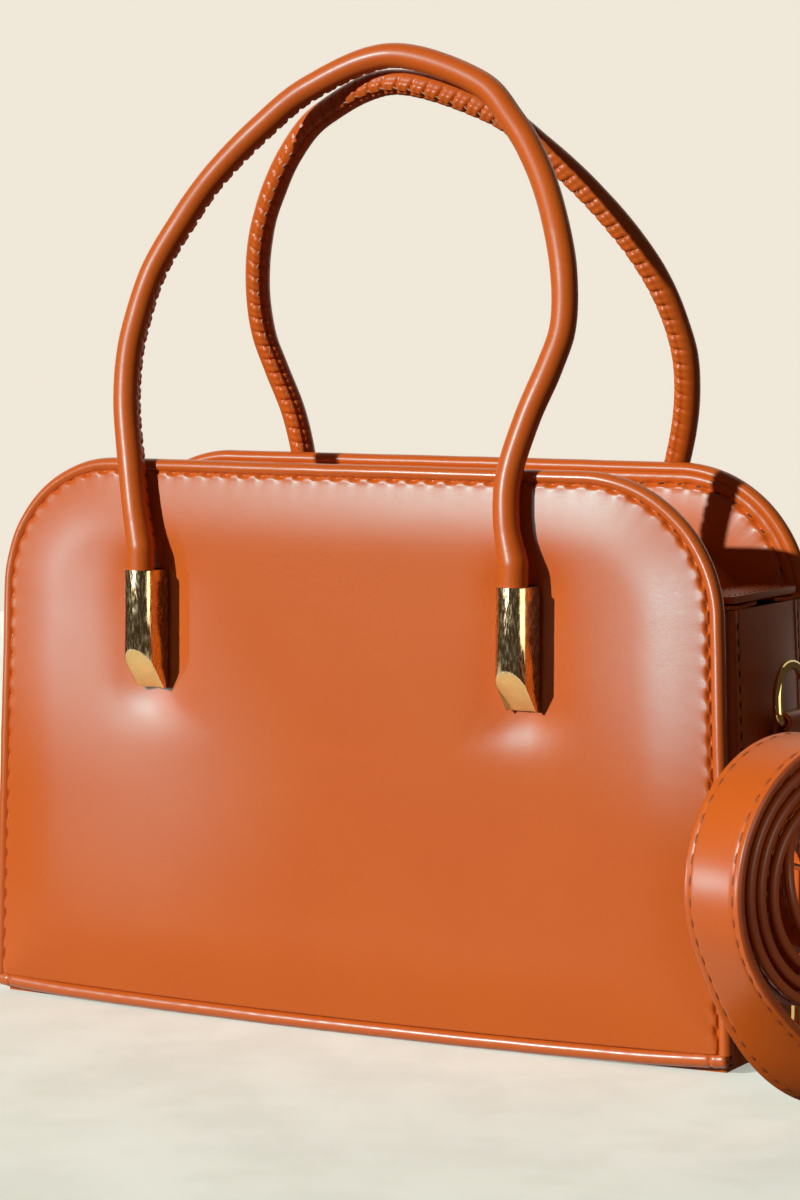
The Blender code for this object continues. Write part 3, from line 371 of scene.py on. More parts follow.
def piece(name, parts, body, replaces=(), blend=None):
    """One object from several (vertices, faces, material) parts, in millimetres."""
    vertices, faces = joined(part[:2] for part in parts)
    materials = list(dict.fromkeys(finish for _, _, finish in parts))
    mesh = mesh_of(name, vertices, faces, materials)
    indices = [materials.index(finish) for _, quads, finish in parts for _ in quads]
    mesh.polygons.foreach_set("material_index", indices)
    bm = bmesh.new()
    bm.from_mesh(mesh)
    bmesh.ops.remove_doubles(bm, verts=bm.verts, dist=2e-7)
    bmesh.ops.recalc_face_normals(bm, faces=bm.faces)
    bm.to_mesh(mesh)
    bm.free()
    mesh.shade_smooth()
    mesh.set_sharp_from_angle(angle=math.radians(40))
    made = linked(name, mesh)
    if blend:
        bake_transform(made)
    else:
        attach(made, body)
    if replaces:
        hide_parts(*replaces)
    return made


def joined(shapes):
    """Several (vertices, faces) as one."""
    points, faces, start = [], [], 0
    for vertices, quads in shapes:
        points.append(np.asarray(vertices, float).reshape(-1, 3))
        faces += [[start + k for k in face] for face in quads]
        start += len(points[-1])
    return np.vstack(points), faces


def loft(rows, around=True, ends=False, loop=False):
    """Vertices and faces of a surface through rows of points."""
    rows = np.asarray(rows, float)
    count, wide = rows.shape[:2]
    ids = np.arange(count * wide).reshape(count, wide)
    lines = np.vstack([ids, ids[:1]]) if loop else ids
    here = lines if around else lines[:, :-1]
    beside = np.roll(lines, -1, axis=1) if around else lines[:, 1:]
    quads = np.stack([here[:-1], beside[:-1], beside[1:], here[1:]], axis=-1)
    faces = quads.reshape(-1, 4).tolist()
    if ends:
        faces += [ids[0][::-1].tolist(), ids[-1].tolist()]
    return rows.reshape(-1, 3), faces


def lid(ring):
    return ring, [list(range(len(ring)))]


def xyz(x, y, z):
    """Points from coordinates of which some are shared by a whole row or grid."""
    return np.stack(np.broadcast_arrays(x, y, z), axis=-1)


def unit(vectors):
    vectors = np.asarray(vectors, float)
    return vectors / np.linalg.norm(vectors, axis=-1, keepdims=True)


def bell(distance, width):
    return np.exp(-((distance / width) ** 2))


def clamp(value):
    return np.clip(value, 0.0, 1.0)


def ease(share):
    return share * share * (3 - 2 * share)


def lengths(path):
    """The way walked along a line, at each of its points."""
    steps = np.linalg.norm(np.diff(path, axis=0), axis=1)
    return np.concatenate([[0.0], np.cumsum(steps)])


def at_marks(marks, walked, values):
    """A line's values, interpolated at marks along it."""
    columns = [np.interp(marks, walked, column) for column in np.transpose(values)]
    return np.stack(columns, axis=-1)


def resample(path, step):
    """The same line with points a steady distance apart."""
    walked = lengths(path)
    count = max(2, int(round(walked[-1] / step)) + 1)
    return at_marks(np.linspace(0.0, walked[-1], count), walked, path)


def smooth(points, per_span):
    """A smooth curve through the points."""
    points = np.asarray(points, float)
    ends = np.vstack([2 * points[0] - points[1], points, 2 * points[-1] - points[-2]])
    t = (np.arange(per_span) / per_span)[:, None]
    spans = [
        0.5 * (2 * b + (c - a) * t + (2 * a - 5 * b + 4 * c - d) * t**2
               + (3 * b - a - 3 * c + d) * t**3)
        for a, b, c, d in zip(ends, ends[1:], ends[2:], ends[3:])
    ]
    return np.vstack([*spans, points[-1:]])


def frames(path, hint, loop=False):
    """Normals of a path that keep to the hint, and the direction across both."""
    around = np.roll(path, -1, axis=0) - np.roll(path, 1, axis=0)
    along = unit(around if loop else np.gradient(path, axis=0))
    hint = np.broadcast_to(np.asarray(hint, float), path.shape)
    normal = unit(hint - (hint * along).sum(axis=1, keepdims=True) * along)
    return normal, np.cross(along, normal)


def placed_sections(path, sections, normal, across):
    """Rows of points: a (normal, across) section at each point, or one for all of them."""
    normal, across = (np.broadcast_to(way, path.shape)[:, None] for way in (normal, across))
    return path[:, None] + sections[..., :1] * normal + sections[..., 1:] * across


def sweep(path, sections, hint, loop=False):
    """A section swept along a path; it may be one for each point of the path."""
    rows = placed_sections(path, sections, *frames(path, hint, loop))
    return loft(rows, ends=not loop, loop=loop)


def arc(cx, cy, radius, start, end, steps):
    turns = np.linspace(start, end, steps + 1)
    return np.stack([cx + radius * np.cos(turns), cy + radius * np.sin(turns)], axis=1)


def circle(radius, sides):
    return arc(0.0, 0.0, radius, 0.0, 2 * math.pi, sides)[:-1]


def round_box(half_x, half_y, radius, steps):
    """A rectangle's outline with round corners."""
    return np.vstack([
        arc(sx * (half_x - radius), sy * (half_y - radius), radius, k * QUARTER,
            (k + 1) * QUARTER, steps)
        for k, (sx, sy) in enumerate(((1, 1), (-1, 1), (-1, -1), (1, -1)))
    ])


def closed(path):
    return np.vstack([path, path[:1]])


def round_wire(path, radius, hint, loop=False, sides=20):
    """A wire, with rounded ends unless it is a loop."""
    if loop:
        return sweep(path, circle(radius, sides), hint, True)
    along = unit(np.gradient(path, axis=0))
    turns = np.linspace(0.0, QUARTER, 6)[:-1, None]
    head = path[0] - along[0] * radius * np.cos(turns)
    tail = path[-1] + along[-1] * radius * np.cos(turns)
    shares = np.maximum(0.05, np.sin(turns))
    line = np.vstack([head, path, tail[::-1]])
    sizes = np.vstack([shares, np.ones((len(path), 1)), shares[::-1]])
    return sweep(line, circle(radius, sides) * sizes[:, None], hint)


def lathe(profile, start, steps=32):
    """A shape turned about a line along x; the profile is (distance from the start, radius)."""
    ring = -circle(1.0, steps)
    rows = [start + xyz(along, *(radius * ring).T) for along, radius in profile]
    return loft(rows, ends=True)


def stitches(path, normal, pitch, length, diameter, slant, sink, lift, start=0.5):
    """Stitches along a line: each dips into the leather at both ends."""
    walked = lengths(path)
    normal = np.broadcast_to(np.asarray(normal, float), (len(walked), 3))
    count = int(walked[-1] / pitch)
    offset = (walked[-1] - count * pitch) / 2
    shares = np.linspace(-1, 1, 7)[:, None]
    taper = np.abs(shares) ** 3
    sizes = diameter / 2 * (1 - 0.45 * taper)
    made = []
    for k in range(count):
        middle = offset + (k + start) * pitch
        spots = at_marks(middle + shares[:, 0] / 2 * length, walked, path)
        up = unit(at_marks(middle, walked, normal))
        side = np.cross(unit(spots[-1] - spots[0]), up)
        spots = spots + (lift - 2.2 * sink * taper) * up + slant * length / 2 * shares * side
        ring = circle(1.0, 8) @ [up, side]
        made.append(loft(spots[:, None] + sizes[:, None] * ring, ends=True))
    return joined(made)


def thickened(rows, thickness, outward):
    """A closed sheet: the rows, and the same rows moved against their outward side."""
    shifted = rows - thickness * np.asarray(outward, float)
    return loft(np.concatenate([rows, shifted[:, ::-1]], axis=1), ends=True)


def normals(rows, way):
    """Normals of a grid of points, on the side that the way points to."""
    found = unit(np.cross(np.gradient(rows, axis=1), np.gradient(rows, axis=0)))
    middle = found[len(rows) // 2, len(rows[0]) // 2]
    return found * math.copysign(1.0, middle @ way)


def uneven(walked, wave, maker):
    """A slow random swing along a line."""
    knots = np.arange(0, walked[-1] + wave, wave)
    return np.interp(walked, knots, maker.normal(0, 1, len(knots)))


def wobble(path, amount, wave, seed):
    """Slight hand-made unevenness."""
    walked = lengths(path)
    maker = np.random.default_rng(seed)
    return path + amount * np.stack([uneven(walked, wave, maker) for _ in range(3)], axis=1)


def side_x(height):
    return HALF_WIDTH - math.tan(LEAN) * height


# Plates.


def run(start, end, steps):
    """Points between two corners, without the corners."""
    shares = np.linspace(0, 1, steps + 1)[1:-1, None]
    return np.asarray(start) + shares * (np.asarray(end) - np.asarray(start))


def outline(inset):
    """The plate's outline drawn in by the inset, from the foot's middle round to the right.

    Each ring has the same number of points. The foot's corners grow rounder inwards.
    """
    top = PLATE_HEIGHT - inset
    top_radius = max(TOP_RADIUS - inset, 1.0)
    room = max(0.0, 0.3 * (PLATE_HEIGHT - 2 * inset - 12.0))
    foot_radius = max(FOOT_RADIUS - inset, 1.0) + min(0.8 * max(0.0, inset - 5.5), 22.0, room)
    foot = inset + FOOT_RISE

    def bend(z, radius, start, end, steps):
        x = side_x(z) - (inset + radius) / math.cos(LEAN)
        return arc(x, z, radius, start, end, steps)

    low = bend(foot + foot_radius, foot_radius, -QUARTER, LEAN, 6)
    high = bend(top - top_radius, top_radius, LEAN, QUARTER, 104)
    half = np.vstack([
        run((0.0, foot), low[0], 50), low, run(low[-1], high[0], 180), high,
        run(high[-1], (0.0, top), 136),
    ])
    return np.vstack([[(0.0, foot)], half, [(0.0, top)], half[::-1] * (-1.0, 1.0)])


def bow_at(x):
    return PLATE_BOW * (1 - (x / HALF_WIDTH) ** 2)


def plate_points(side, flat, depth):
    """Places in a plate; depth is measured inwards from its outer face."""
    x, z = flat[:, 0], flat[:, 1]
    rise = EDGE_RISE * (x / HALF_WIDTH) ** 2 * (1 - z / PLATE_HEIGHT)
    return xyz(x, side * (HALF_DEPTH + bow_at(x) - depth), z + PLATE_LIFT + rise)


def padded_height(distance):
    """The skin puffs up beside the rolled edge, then swells slowly."""
    near = np.clip(distance - 0.8, 0.0, PADDING_MARGIN)
    slow = PADDING_SLOPE * (near - near**3 / (3 * PADDING_MARGIN**2))
    return slow - 0.95 + 1.05 * (1 - math.exp(-max(distance, 0.0) / 0.20))


def ferrule_dimple(x, z):
    """How far a ferrule pulls the skin in."""
    deep = np.zeros_like(x)
    for middle in (-SPREAD, SPREAD):
        dz = np.maximum(0, np.maximum(99.5 - z, z - 130.0))
        reach = np.hypot(np.maximum(0, np.abs(x - middle) - 2.0), dz)
        deep += 2.3 * bell(reach, 9.5)
    return deep


def seam(inset, seed):
    """Round the seam at an inset: how near each point is to the leather between two stitches,
    from 0 to 1, and 1 where the edge is stitched or 0 along the foot."""
    flat = outline(inset)
    walked = lengths(flat)
    turns = (walked - walked[len(flat) // 2]) / STITCH_PITCH
    off = np.abs((turns + 0.5) % 1.0 - 0.5)
    vary = np.random.default_rng(seed).uniform(0.8, 1.15, 400)
    between = (1 - np.exp(-((off / 0.23) ** 4))) * vary[np.floor(turns).astype(int) % 400]
    return between, clamp((flat[:, 1] - 6.0) / 2.5)


SKIN_INSETS = (
    2.8, 3.25, 3.4, 3.5, 3.6, 3.72, 3.86, 4.02, 4.2, 4.42, 4.7, 5.05, 5.5, 6.1, 6.8, 7.7, 8.9,
    10.5, 12.4, 14.5, 17.0, 19.6, 22.4, 25.5, 29.0, 33.0, 37.0, 41.5, 46.5, 52.0, 58.0, 64.0,
    70.0, 76.0, 82.4,
)
FACING_INSETS = (
    0.9, 1.1, 1.5, 2.0, 2.4, 2.8, 3.2, 3.7, 4.5, 5.3, 5.7, 6.0, 6.3, 6.6, 6.9, 7.3, 7.8, 8.5,
    9.4, 10.6, 12.0, 13.6, 15.6, 18.0, 21.5, 26.0, 32.0, 42.0, 58.0, 72.0, 82.4,
)


def plate_sheet(side, insets, depth_at):
    """A plate's leather, from its edge inwards and closed in the middle."""
    rings = [outline(inset) for inset in insets]
    rows = [plate_points(side, flat, depth_at(inset, flat)) for inset, flat in zip(insets, rings)]
    vertices, faces = loft(rows)
    faces.append(list(range(len(vertices) - len(rows[-1]), len(vertices))))
    return vertices, faces, LEATHER


def skin(word, side):
    """The plate's outer leather, puckered along its stitches and swelling over the padding."""
    between, sewn = seam(PUCKER_LINE, 3 + side)

    def depth_at(inset, flat):
        distance = inset - SKIN_EDGE
        height = padded_height(distance) - sewn * 1.9 * max(0.0, -distance)
        height = height - (1 - sewn) * 1.7 * max(0.0, 0.5 - distance) ** 1.4
        slit = 1.10 * bell(inset - 3.95, 0.46)
        crest = 0.15 * bell(inset - 4.5, 0.8) + 0.06 * math.exp(-max(inset - 4.6, 0) / 2.0)
        height = height + sewn * (crest * (between - 0.5) - slit * clamp(1 - between))
        return ferrule_dimple(*flat.T) - height

    parts = [plate_sheet(side, SKIN_INSETS, depth_at)]
    made = piece(f"{word}_skin", parts, "bag", (f"{word}_panel", f"{word}_padding"))


def facing(word, side):
    """The plate's inner leather, with a border folded over the rolled edge and sewn down."""
    between, sewn = seam(FACING_STITCH, 9 + side)

    def depth_at(inset, _):
        distance = inset - FACING_STITCH
        height = 0.25 - 1.6 * (1 - min(1.0, (inset - 0.9) / 2.1)) ** 2.2
        if distance > 0:
            near = min(distance, 15.0)
            height = 0.30 * (1 - math.exp(-distance / 0.7)) + 0.05
            height += 0.17 * (near - near**2 / 30.0)
        height = height - 0.55 * bell(distance, 0.6) - 0.9 * bell(inset - 2.7, 0.6)
        groove = 0.45 * bell(distance, 0.55)
        crest = 0.32 * bell(distance - 0.75, 0.8)
        fold = 0.10 * math.exp(-abs(distance) / 3.0)
        folds = crest * (between - 0.25) + fold * (between - 0.35) - groove * (1 - between)
        return PLATE_THICKNESS + height + sewn * folds

    parts = [plate_sheet(side, FACING_INSETS, depth_at)]
    piece(f"{word}_inner_leather", parts, "bag", (f"{word}_facing", f"{word}_board"))


def upper_part(inset, low):
    """A ring's stretch above a height, from the right foot over the top to the left one."""
    flat = outline(inset)
    return flat[flat[:, 1] > low]


def plate_stitches(name, side, way, inset, depth, size, slant):
    """A row of sunk stitches, with the middle of the top halfway between two of them. Their
    thread is darkened: painted shade of the slits they lie in.
    """
    flat = upper_part(inset, inset + 2.2)
    walked = lengths(flat)
    middle = walked[np.argmin(np.abs(flat[:, 0]))]
    first = (middle - 0.5 * STITCH_PITCH) % STITCH_PITCH
    count = int((walked[-1] - first) / STITCH_PITCH)
    marks = first + np.arange(0, count * STITCH_PITCH + 0.01, 0.5)
    even = at_marks(marks, walked, plate_points(side, flat, depth))
    made = stitches(even, way * ACROSS, STITCH_PITCH, *size, slant, 0.3, 0.02)
    # Darkened thread: painted shade of the slits.
    piece(name, [(*made, THREAD_IN_PAINTED_SHADE)], "bag")


def edge_roll(word, side):
    flat = upper_part(ROLL_RADIUS, 4.45)
    path = resample(plate_points(side, flat, PLATE_THICKNESS / 2), 1.0)
    path = wobble(path, 0.035, 7.0, 21 + side)
    made = sweep(path, circle(1.0, 28) * (PLATE_THICKNESS / 2, 2.12), ACROSS)
    finish = LEATHER_ROUND if side < 0 else LEATHER
    piece(f"{word}_rolled_edge", [(*made, finish)], "bag", (f"{word}_edge_roll",))


def foot_welt(word, side):
    """The piping along the foot: it rises to its rounded ends, with a crease near each."""
    reach = side_x(4.6) - 0.9
    x = np.linspace(-reach, reach, 420)
    flat = np.stack([x, np.full_like(x, WELT_RADIUS - PLATE_LIFT / 2)], axis=1)
    path = wobble(plate_points(side, flat, WELT_RADIUS), 0.03, 9.0, 31 + side)
    x, ends = path[:, 0], reach - np.abs(path[:, 0])
    path[:, 2] = np.maximum(path[:, 2], WELT_RADIUS + 0.12) + 0.9 * (1 - clamp(ends / 40.0)) ** 2
    size = np.sqrt(np.clip(1 - (1 - clamp(ends / 1.3)) ** 2, 0.02, 1))
    size = size - 0.13 * bell(ends - 5.2, 0.40) + 0.05 * bell(ends - 4.2, 0.7)
    size = size - 0.012 * np.sin(x * 0.9) * np.sin(x * 0.13 + side)
    made = sweep(path, circle(WELT_RADIUS, 28) * size[:, None, None], ACROSS)
    piece(f"{word}_piped_foot", [(*made, LEATHER_ROUND)], "bag", (f"{word}_foot_welt",))


for word, side in PLATES:
    skin(word, side)
    facing(word, side)
    plate_stitches(f"{word}_outer_stitches", side, side, SKIN_STITCH, 0.50, (2.9, 0.62), 0.16)
    plate_stitches(
        f"{word}_inner_stitches", side, -side, FACING_STITCH, PLATE_THICKNESS - 0.1, (2.7, 0.5),
        -0.16,
    )
    edge_roll(word, side)
    foot_welt(word, side)


# Base, gussets, roof and lining.


def base_panel():
    reach = side_x(0.0) - 3.0
    x = np.linspace(-reach, reach, 90)[:, None]
    y = (HALF_DEPTH + bow_at(x) - 2 * WELT_RADIUS - 0.3) * np.linspace(-1, 1, 24)
    low = xyz(x, y, 0.0)
    low[:, 0, 1] += 0.3
    low[:, -1, 1] -= 0.3
    rows = np.concatenate([xyz(x, y, BASE_THICKNESS), low[:, ::-1]], axis=1)
    piece("base_leather", [(*loft(rows, ends=True), LEATHER)], "bag", ("base_panel",))


def gusset_section(height):
    """The gusset's outer line at a height, as (x, y) from the front flange to the back one."""
    out = side_x(height) - 0.4
    swell = GUSSET_SWELL * (0.25 + 0.75 * math.sin(math.pi * height / GUSSET_TOP))

    def swollen(y):
        return out + swell * (1 - (y / GUSSET_FOLD) ** 2)

    flange = [(9.0, 0.0), (6.0, 0.0), (4.6, 0.1), (4.0, 0.7), (3.0, 2.0)]
    flange = [(out - x, y - GUSSET_FLANGE) for x, y in flange]
    bend = arc(out - 1.4, -24.4, 1.4, -1.5, -0.1, 6)
    y = np.array([*np.linspace(-24.0, -20.4, 10), -20.1, -19.5])
    hem = swollen(y) + 0.35 * (y < -20.2) - 0.28 * bell(y + GUSSET_STITCH, 0.5)
    front = np.vstack([flange, bend, np.column_stack([hem, y])])
    y = np.linspace(-18.5, 18.5, 28)
    return np.vstack([front, np.column_stack([swollen(y), y]), front[::-1] * (1.0, -1.0)])


def gusset(word, side):
    rows = []
    for height in np.linspace(1.8, GUSSET_TOP, 80):
        x, y = gusset_section(height).T
        rows.append(xyz(side * x, y, height))
    rows = np.array(rows)
    outward = normals(rows, (side, 0.0, 0.0))
    parts = [(*thickened(rows, 1.2, outward), LEATHER)]
    for sign in (-1, 1):
        path = []
        for height in np.linspace(4.0, GUSSET_TOP - 2.0, 120):
            x, y = gusset_section(height)[10:24].T
            out = np.interp(-GUSSET_STITCH, y, x) + 0.10
            path.append((side * out, sign * GUSSET_STITCH, height))
        made = stitches(path, (side, 0.0, 0.0), 4.4, 3.1, 0.55, 0.10, 0.25, 0.02)
        # Darkened thread: painted shade on the shaded gusset.
        parts.append((*made, THREAD_IN_PAINTED_SHADE))
    piece(f"{word}_side_panel", parts, "bag", (f"{word}_gusset",))


def roof_line(drop):
    """The arch of the roof from left to right as (x, z), lowered squarely by the drop."""
    top, foot = ROOF_HEIGHT - drop, GUSSET_TOP + TAB_LEVEL - drop
    centre_z, turned = ROOF_HEIGHT - ROOF_BEND, QUARTER - ROOF_SLOPE
    bend = arc(ROOF_FLAT_HALF, centre_z, ROOF_BEND - drop, QUARTER, turned, 14)
    last_x, last_z = bend[-1]
    slope_x = last_x + (last_z - foot) / math.tan(ROOF_SLOPE)
    flat = [(x, top) for x in np.linspace(0, ROOF_FLAT_HALF, 12)[:-1]]
    level = [(x, foot) for x in np.linspace(slope_x, side_x(GUSSET_TOP) - 0.6, 8)]
    half = np.vstack([flat, bend, run(bend[-1], (slope_x, foot), 8), level])
    return np.vstack([half[:0:-1] * (-1.0, 1.0), half])


def zip_facing(word, side):
    """One half of the roof, with its edge beside the zip turned down and sewn."""
    line = roof_line(0.0)
    edge = [6.5, 6.6, 6.9, 7.4, 8.0, 8.5, ROOF_STITCH, 9.1, 9.6, 10.5]
    rows = []
    for x, z in line:
        wall = HALF_DEPTH + bow_at(x) - PLATE_THICKNESS - 1.5
        y = np.concatenate([edge, np.linspace(13, wall, 10)])
        turned = -0.5 * clamp(1 - (y - 6.5) / 0.5) ** 2
        pinch = -0.22 * bell(y - ROOF_STITCH, 0.45)
        droop = -0.5 * np.sin(clamp((y - 9) / (wall - 9)) * math.pi)
        rows.append(xyz(x, side * y, z + turned + pinch + droop))
    rows = np.array(rows)
    parts = [(*thickened(rows, 1.0, normals(rows, UP)), LEATHER_DULL)]
    path = resample([(x, side * ROOF_STITCH, z + 0.02) for x, z in line], 0.6)
    normal = np.cross(np.gradient(path, axis=0), ACROSS)
    normal = unit(normal * np.sign(normal[:, 2:3] + 1e-9))
    made = stitches(path, normal, 4.2, 2.9, 0.55, 0.12, 0.25, 0.0)
    parts.append((*made, THREAD))
    piece(f"{word}_roof", parts, "bag", (f"{word}_zip_facing",))


def zip_line(drop):
    reach = side_x(GUSSET_TOP) - 10.0
    line = roof_line(drop)
    line = line[np.abs(line[:, 0]) < reach]
    ends = [[(-reach, line[0][1])], line, [(reach, line[-1][1])]]
    return resample(np.vstack(ends), 0.5)


def zip_tape(word, side):
    x, z = zip_line(1.5)[::4].T[:, :, None]
    rows = xyz(x, side * np.linspace(1.8, 10.2, 12), z)
    parts = [(*thickened(rows, 0.6, normals(rows, UP)), TAPE)]
    piece(f"{word}_tape", parts, "bag", (f"{word}_zip_tape",))


# A tooth's outline as shares of its half width and half height, and its profile outwards as
# (distance across the zip, half width, half height).
OCTAGON = np.array(
    [(1, 0.7), (0.7, 1), (-0.7, 1), (-1, 0.7), (-1, -0.7), (-0.7, -1), (0.7, -1), (1, -0.7)]
)
TOOTH = (
    (-0.15, 0.50, 1.15), (0.1, 0.62, 1.15), (0.9, 0.62, 1.15), (1.35, 0.50, 1.15),
    (1.9, 0.42, 0.75), (2.3, 0.36, 0.75),
)


def zip_teeth(word, side):
    """Pressed teeth whose rounded heads reach across the middle, on a woven bead."""
    x, z = zip_line(1.8).T
    path = xyz(x, 0.0, z)
    walked = lengths(path)
    start = 2.0 + (TOOTH_PITCH / 2 if side > 0 else 0.0)
    teeth = []
    for mark in np.arange(start, walked[-1] - 2.0, TOOTH_PITCH):
        spot, after = at_marks((mark, mark + 0.4), walked, path)
        along = unit(after - spot)
        up = np.cross(along, ACROSS)
        up = up * math.copysign(1, up[2])
        teeth.append(loft(
            [spot + out * side * ACROSS + OCTAGON * size @ [along, up] for out, *size in TOOTH],
            ends=True,
        ))
    bead = round_wire(xyz(x, side * 2.3, z), 0.55, ACROSS, sides=8)
    parts = [(*joined(teeth), GOLD), (*bead, TAPE)]
    piece(f"{word}_tooth_row", parts, "bag", (f"{word}_zip_teeth",))


def end_tab(word, side):
    """A level tab with round corners, softened edges and stitches all round."""
    half_x, half_y, thickness = 6.75, 24.5, 2.0
    centre = (
        side * (side_x(GUSSET_TOP) - 0.6 - half_x), 0.0,
        GUSSET_TOP + TAB_LEVEL + 0.3 + thickness / 2,
    )
    ring = round_box(half_x, half_y, 2.2, 6)
    soft = [(-1.0, 1.0), (-1.0, 0.45), (-0.7, 0.12), (0.0, 0.0)]
    soft += [(-height, inset) for height, inset in soft[2::-1]]
    rows = [
        xyz(*(ring - unit(ring) * inset * 0.6).T, height * thickness / 2) + centre
        for height, inset in soft
    ]
    path = xyz(*closed(round_box(4.6, 22.4, 1.2, 6)).T, thickness / 2 + 0.03) + centre
    made = stitches(resample(path, 0.5), UP, 3.6, 2.6, 0.5, 0.0, 0.25, 0.0)
    parts = [(*loft(rows, ends=True), LEATHER), (*made, THREAD)]
    piece(f"{word}_end_tab", parts, "bag", (f"{word}_zip_end_tab",))


def lining():
    """Two long walls that sag a little between two flat ends, on a floor."""
    inside = side_x(GUSSET_TOP) - 0.4 - 2.2
    line = roof_line(1.5)
    top = line[np.abs(line[:, 0]) < inside - 2]
    rim_end = GUSSET_TOP - 0.5
    x = np.linspace(-inside, inside, 60)
    rim = np.interp(x, *top.T, rim_end, rim_end) - 7.0 * clamp((np.abs(x) - 55.0) / 30.0)
    share = np.linspace(0, 1, 30)[:, None]
    flare = 1 + LINING_FLARE * (1 - share)
    sag = 0.4 * np.sin(x / 9.0 + 2.0 * share) * np.sin(math.pi * share)
    depth = 26.0 + sag - 0.6 * np.cos(x / 31.0) ** 2
    wall_z = LINING_FLOOR + (rim - LINING_FLOOR) * share
    end_z = LINING_FLOOR + (rim_end - LINING_FLOOR) * share
    end_y = np.linspace(-25.6, 25.6, 16)
    floor_x = (1 + LINING_FLARE) * x[:, None]
    sheets = [(xyz(x * flare, side * depth, wall_z), (0.0, side, 0.0)) for side in (-1, 1)]
    sheets += [(xyz(side * inside * flare, end_y, end_z), (side, 0.0, 0.0)) for side in (-1, 1)]
    sheets.append((xyz(floor_x, np.linspace(-25.8, 25.8, 16), LINING_FLOOR - 0.1), UP))
    parts = [(*thickened(rows, 0.6, outward), LINING) for rows, outward in sheets]
    piece("lining_cloth", parts, "bag", ("lining",))


base_panel()
for word, side in SIDES:
    gusset(word, side)
    end_tab(word, side)
for word, side in PLATES:
    zip_facing(word, side)
    zip_tape(word, side)
    zip_teeth(word, side)
lining()


# Ferrules and handles.


def ferrule_section(grow):
    """Half-round section as (u, v) with a flat back, drawn in by -grow."""
    radius = (FERRULE_HALF**2 + FERRULE_CROWN**2) / (2 * FERRULE_CROWN)
    reach = math.asin(FERRULE_HALF / radius)
    front = arc(
        0.0, FERRULE_DEPTH - radius, radius + grow, QUARTER - reach, QUARTER + reach, 22
    )
    half = FERRULE_HALF + grow
    front[:, 0] = np.clip(front[:, 0], -half, half)
    back = FERRULE_BACK
    right = np.array([(half, back), (half, back + 2.0), (half, front[0][1] - 0.45)])
    return np.vstack([[(0.0, back)], right, front, right[::-1] * (-1.0, 1.0)])


def ferrule(word, hand, side, x):
    """A polished sleeve with a slanted satin foot and a mouth round the handle."""
    top, low = FERRULE_TOP, FERRULE_TOP - FERRULE_LENGTH

    def level(grow, height):
        return xyz(*ferrule_section(grow).T, height)

    def slanted(grow):
        return low + FERRULE_CUT * clamp(ferrule_section(grow)[:, 1] / FERRULE_DEPTH)

    slant = slanted(0.0)
    rows = [
        level(0.0, slant + 0.30), level(0.0, (slant + top - 1.0) / 2), level(0.0, top - 0.30),
        level(-0.09, top - 0.09), level(-0.30, top), level(-0.62, top), level(-0.74, top - 0.12),
        level(-0.74, top - 2.6),
    ]
    cut = level(-0.28, slanted(-0.28))
    foot = loft([rows[0], level(-0.10, slant + 0.07), cut])
    shapes = (
        (loft(rows), GOLD_BRUSHED), (foot, GOLD_BRUSHED), (lid(cut), GOLD_SATIN),
        (lid(rows[-1]), GOLD_BRUSHED),
    )
    parts = []
    for (vertices, faces), finish in shapes:
        placed = vertices * (side, side, 1.0) + (x, side * FERRULE_SEAT, 0.0)
        parts.append((placed, faces, finish))
    replaced = (f"{word}_{hand}_ferrule", f"{word}_{hand}_screw")
    piece(f"{word}_{hand}_sleeve", parts, "bag", replaced)


# Each handle's top height, the x and y of its top, and how far its left and right leg stand
# out, in shares of the spread, at the shares of its height.
HEIGHTS = (0.0, 0.08, 0.17, 0.28, 0.38, 0.46, 0.56, 0.66, 0.76, 0.86, 0.94)
LEGS = {
    "front": (
        288.8, 0.0, -5.0,
        (1.0, 1.05, 1.10, 1.165, 1.19, 1.18, 1.13, 1.02, 0.87, 0.65, 0.41),
        (1.0, 0.95, 0.94, 1.00, 1.08, 1.12, 1.09, 1.01, 0.89, 0.71, 0.49),
    ),
    "back": (
        281.2, -2.0, 0.5,
        (1.0, 0.93, 0.905, 0.93, 0.99, 1.03, 1.02, 0.96, 0.847, 0.675, 0.447),
        (1.0, 1.09, 1.173, 1.255, 1.29, 1.28, 1.217, 1.097, 0.919, 0.691, 0.443),
    ),
}


def handle_path(word, side):
    top, apex_x, apex_y, left, right = LEGS[word]
    foot, start = PIVOT_Z + 2.0, side * HANDLE_Y

    def at(share, x):
        return (x, start + (apex_y - start) * share**1.3, foot + (top - foot) * share)

    points = [at(s, -w * SPREAD) for s, w in zip(HEIGHTS, left)]
    points += [at(1.0, apex_x)]
    points += [at(s, w * SPREAD) for s, w in zip(HEIGHTS[::-1], right[::-1])]
    feet = np.array([(SPREAD, start, z) for z in (139.5, 137.5, 135.5, 133.6)])
    path = np.vstack([feet[::-1] * (-1.0, 1.0, 1.0), smooth(points, 14), feet])
    return resample(path, 0.42)


